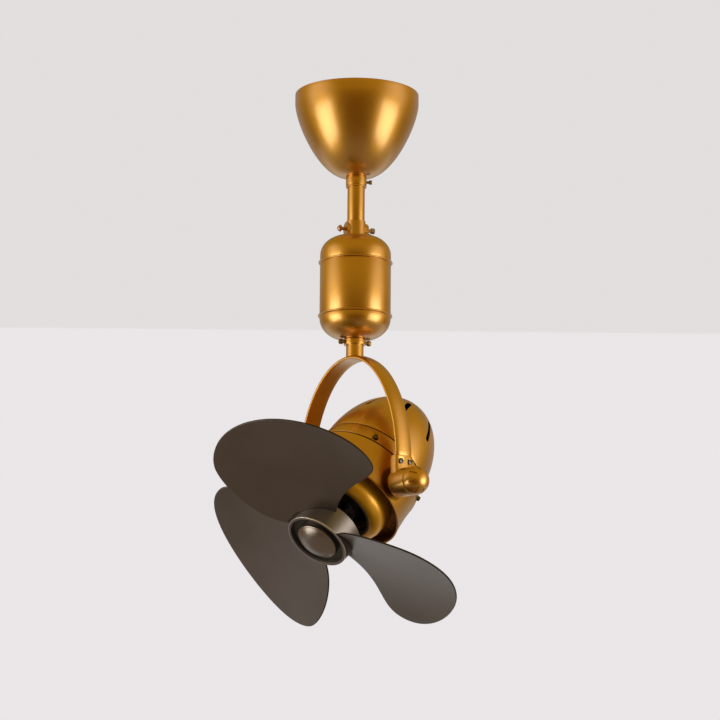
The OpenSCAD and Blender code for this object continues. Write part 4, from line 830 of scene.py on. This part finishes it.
dome_gold = metal("dome_gold", gold_tone, gold_shade, gold_rough, coat=1.0)
along, off_axis = head_axes(dome_gold)
from_foot = along - dome_foot / 1000
depth_in_dome = (off_axis * (1 / (dome_r / 1000) ** 2)
                 + from_foot * from_foot * (1 / (dome_high / 1000) ** 2))
# The dome's inside is near black, and so is the deeper part of each slot's cut wall: painted shade
# in the slots.
retone(dome_gold, 1 - depth_in_dome.between(0.955, 0.985), (0.03, 0.02, 0.012), 0.7)
# A dark band of painted shade runs along the dome's joint with the band.
retone(dome_gold, along.between(-0.0436, -0.0430), joint_shade, 0.6)
fit(rear, "head", "gold", dome_gold, "rear_shell", smooth=40)

# Front collar and motor
# A rounded gold collar stands on the shell's floor round the black cast plate that carries the
# motor. The shaft runs in two bearings, and its core turns inside the wound stator.
throat_r, throat_foot, throat_bore_r = 49, 6.55, 46
# The collar's gold is a lighter, less metallic copy of the antique gold: painted light for the
# broad highlight it catches.
collar_gold_lit_and_shaded = metal("collar_gold_lit_and_shaded", (0.95, 0.47, 0.010), (0.86, 0.41, 0.006), 0.42, 0.6, coat=0.3)
along, off_axis = head_axes(collar_gold_lit_and_shaded)
# Its inner rounding round the mouth is darkened: a painted reflection of the dark hub and plate.
retone(collar_gold_lit_and_shaded, 1 - off_axis.between(0.0362 ** 2, 0.0385 ** 2), (0.03, 0.014, 0.004), 0.6)
shoulder = [(38.4 + 10.6 * cos(radians(a)), 20.4 + 13 * sin(radians(a))) for a in range(0, 91, 6)]
throat = spun("motor_collar", [(throat_bore_r, throat_foot), (throat_r, throat_foot)] + shoulder
              + [(35, 33.4), (34.3, 33.1), (34, 32.4), (34, 22.4), (throat_bore_r, 20.4)],
              closed=True)
settle(throat, head_place)
fit(throat, "head", "gold", collar_gold_lit_and_shaded, "front_collar", smooth=40)

black = metal("black_casting", (0.014, 0.012, 0.011), (0.008, 0.0075, 0.007), 0.42, 0.0, 700.0,
              0.00002)
black.node_tree.nodes["Principled BSDF"].inputs["Specular IOR Level"].default_value = 0.15
plate = spun("motor_plate_front", [
    (7, 4), (42.1, 4), (42.1, -12), (44.4, -12), (44.4, lip_floor_z), (45.9, lip_floor_z),
    (45.9, 9.5), (36.4, 10.5), (33.6, 12.6), (32.6, 12.0), (30.4, 13.8), (30.4, 15.1),
    (27.6, 17.2), (26.6, 16.6), (24.4, 18.3), (24.4, 19.7), (21, 22.3), (17, 27.4), (7, 27.4)],
    closed=True)
cut(plate, pin(14.05, (0, 0, 17.8), (0, 0, 40), 96))
round_edges(plate, 0.5, 3)
settle(plate, head_place)
fit(plate, "head", "black_casting", black, "front_plate")

core = metal("core_sheets", (0.20, 0.20, 0.21), (0.13, 0.13, 0.14), 0.45)
winding = metal("winding_wire", (0.36, 0.12, 0.045), (0.26, 0.08, 0.03), 0.4)
blued_steel = metal("blued_steel", (0.050, 0.048, 0.046), (0.032, 0.031, 0.030), 0.36)
paint(zinc, "rear_plate", "hub_nut", "blade_screws")
paint(blued_steel, "shaft_bearings", "motor_shaft")
paint(core, "stator_core", "rotor_core")
paint(winding, "stator_windings")

# Rotor hub
# A turned cup in gunmetal finish, with a raised rim and a sunk ring round its domed cap. The
# blades' tabs go through three slots in its wall to a carrier on the shaft.
rotor_first, blade_pitch, blade_z = 77.5, 15, 66.5
rotor_turns = [Matrix.Rotation(radians(rotor_first + 120 * i), 4, "Z") for i in range(3)]
blade_seat = lift(blade_z) @ Matrix.Rotation(radians(blade_pitch), 4, "X")
slot_lean = radians(3.2)

pewter = metal("gunmetal", (0.21, 0.182, 0.170), (0.155, 0.135, 0.126), 0.38, 0.85)
along, off_axis = head_axes(pewter)
# A thin near-white ring on the rim's outer edge is a painted highlight.
on_rim = along.between(0.0795, 0.0799) * off_axis.between(0.0342 ** 2, 0.0345 ** 2)
# The sunk ring round the cap and the rim's inner wall are darkened: painted shade in the trough.
sunk_ring_shade = (1 - along.between(0.0768, 0.0795)) * (1 - off_axis.between(0.0313 ** 2, 0.0318 ** 2))
retone(pewter, on_rim, (0.78, 0.72, 0.66), 0.25)
retone(pewter, sunk_ring_shade, (0.055, 0.047, 0.04), 0.42)

hub = spun("rotor_hub", [
    (36, 54.3), (37.6, 54.3), (38, 55.1), (35.08, 77.5), (35.0, 79.3), (34.7, 80.5), (31.9, 80.5),
    (31.3, 76.3), (5.1, 76.3), (5.1, 74.3), (33.48, 74.3)], closed=True)
for turn in rotor_turns:
    cut(hub, settle(box_tool((14, 26.2, 2.6), (0.036, 0, 0.0008), (slot_lean, 0, 0)),
                    turn @ blade_seat))
round_edges(hub, 0.45, 3)
settle(hub, head_place)
fit(hub, "rotor", "pewter", pewter, "hub")

# The cap's finish is a glossier copy of the hub's gunmetal, and its lighter tone is painted light
# that brightens the cap's highlight.
lit_button_metal = metal("lit_button_gunmetal", (0.28, 0.243, 0.212), (0.22, 0.19, 0.166), 0.31)
button_r, button_middle, button_top = 32.8, 56.9, 89.7
button = [(button_r * sin(radians(a)), button_middle + button_r * cos(radians(a)))
          for a in range(42, 0, -3)]
cap = spun("rotor_cap", [(0.001, 82.35), (9.5, 82.35), (9.5, 76.35), (22.9, 76.35), (22.9, 80.6),
                         (22.7, 81.0)] + button + [(0.001, button_top)])
settle(cap, head_place)
fit(cap, "rotor", "pewter", lit_button_metal, "hub_cap", smooth=50)
paint(black, "blade_carrier")

# Blades
# Three wide blades of two-millimetre sheet, bent round one cylinder and pitched fifteen
# degrees, in matt brown-bronze paint with edges painted dark as shade. A tab goes into the
# hub.
blade_sheet, bend_r, bend_middle, bend_turn = 2, 365, 98, radians(21)
blade_middle = (0.085, -0.008, 0)
tab_width, tab_hole_r, tab_hole_out = 26, 1.6, 28
inner_rings = (0.985, 0.95, 0.88, 0.79, 0.7, 0.6, 0.5, 0.4, 0.3, 0.2, 0.1, 0.0001)
blade_paint = metal("blade_bronze", (0.20, 0.172, 0.152), (0.17, 0.146, 0.128), 0.36, 0.95)
# Points on each blade's edges carry a mark, and there the paint is darkened: painted shade on the
# edges.
rim = Wire(blade_paint.node_tree).node("ShaderNodeAttribute", {"attribute_name": "rim"}, output=2)
retone(blade_paint, rim, (0.045, 0.038, 0.034), 0.7)
outline = (sweep((22, 24), (27, 52), (78, 78), (109, 78), 22)[:-1]
           + sweep((109, 78), (126, 78), (161, 59.5), (161, 1.5), 22)[:-1]
           + sweep((161, 1.5), (161, -45.5), (133, -102), (94, -102), 22)[:-1]
           + sweep((94, -102), (63, -102), (70, -51), (22, -25), 22)[:-1]
           + sweep((22, -25), (22, -10), (22, 9), (22, 24), 12)[:-1])

for i, turn in enumerate(rotor_turns):
    bpy.ops.object.select_all(action="DESELECT")
    bpy.ops.mesh.primitive_circle_add(vertices=len(outline), radius=0.1)
    blade = bpy.context.object
    blade.name = "fan_blade_" + str(i + 1)
    for vertex, (x, y) in zip(blade.data.vertices, outline):
        vertex.co = Vector((x, y, 0)) / 1000
    bpy.ops.object.mode_set(mode="EDIT")
    bpy.ops.mesh.select_all(action="SELECT")
    reach = 1.0
    for share in inner_rings:
        bpy.ops.mesh.extrude_region_move(TRANSFORM_OT_translate={"value": (0, 0, 0)})
        bpy.ops.transform.resize(value=(share / reach,) * 3, center_override=blade_middle)
        reach = share
    bpy.ops.mesh.select_all(action="SELECT")
    bpy.ops.mesh.remove_doubles(threshold=0.00002)
    bpy.ops.mesh.normals_make_consistent(inside=False)
    bpy.ops.object.mode_set(mode="OBJECT")
    for vertex in blade.data.vertices:
        x, y = vertex.co.x * 1000, vertex.co.y * 1000
        off = (x - bend_middle) * sin(bend_turn) - y * cos(bend_turn)
        vertex.co.z = (bend_r - sqrt(bend_r * bend_r - off * off)) / 1000
    wall(blade, blade_sheet, 0.0)
    round_edges(blade, 0.55, 3, 50)
    settle(blade, blade_seat)
    cone = spun("root_tool", [(0.001, 24.3), (42.08, 24.3), (31.24, 110.3), (0.001, 110.3)])
    cut(cone, box_tool((80, tab_width, 40), (0.04, 0, blade_z / 1000),
                       (radians(blade_pitch), 0, 0)))
    cut(blade, cone)
    for y in (-6.5, 6.5):
        cut(blade, settle(pin(tab_hole_r, (tab_hole_out, y, -8), (tab_hole_out, y, 8), 24),
                          blade_seat))
    settle(blade, head_place @ turn)
    fit(blade, "rotor", "blade_bronze", blade_paint, "blade_" + str(i + 1), smooth=40)
    facing = (head_place @ turn @ blade_seat).to_3x3() @ Vector((0, 0, 1))
    on_edge = [0.0 if abs(vertex.normal.dot(facing)) > 0.8 else 1.0
               for vertex in blade.data.vertices]
    blade.data.attributes.new("rim", "FLOAT", "POINT").data.foreach_set("value", on_edge)
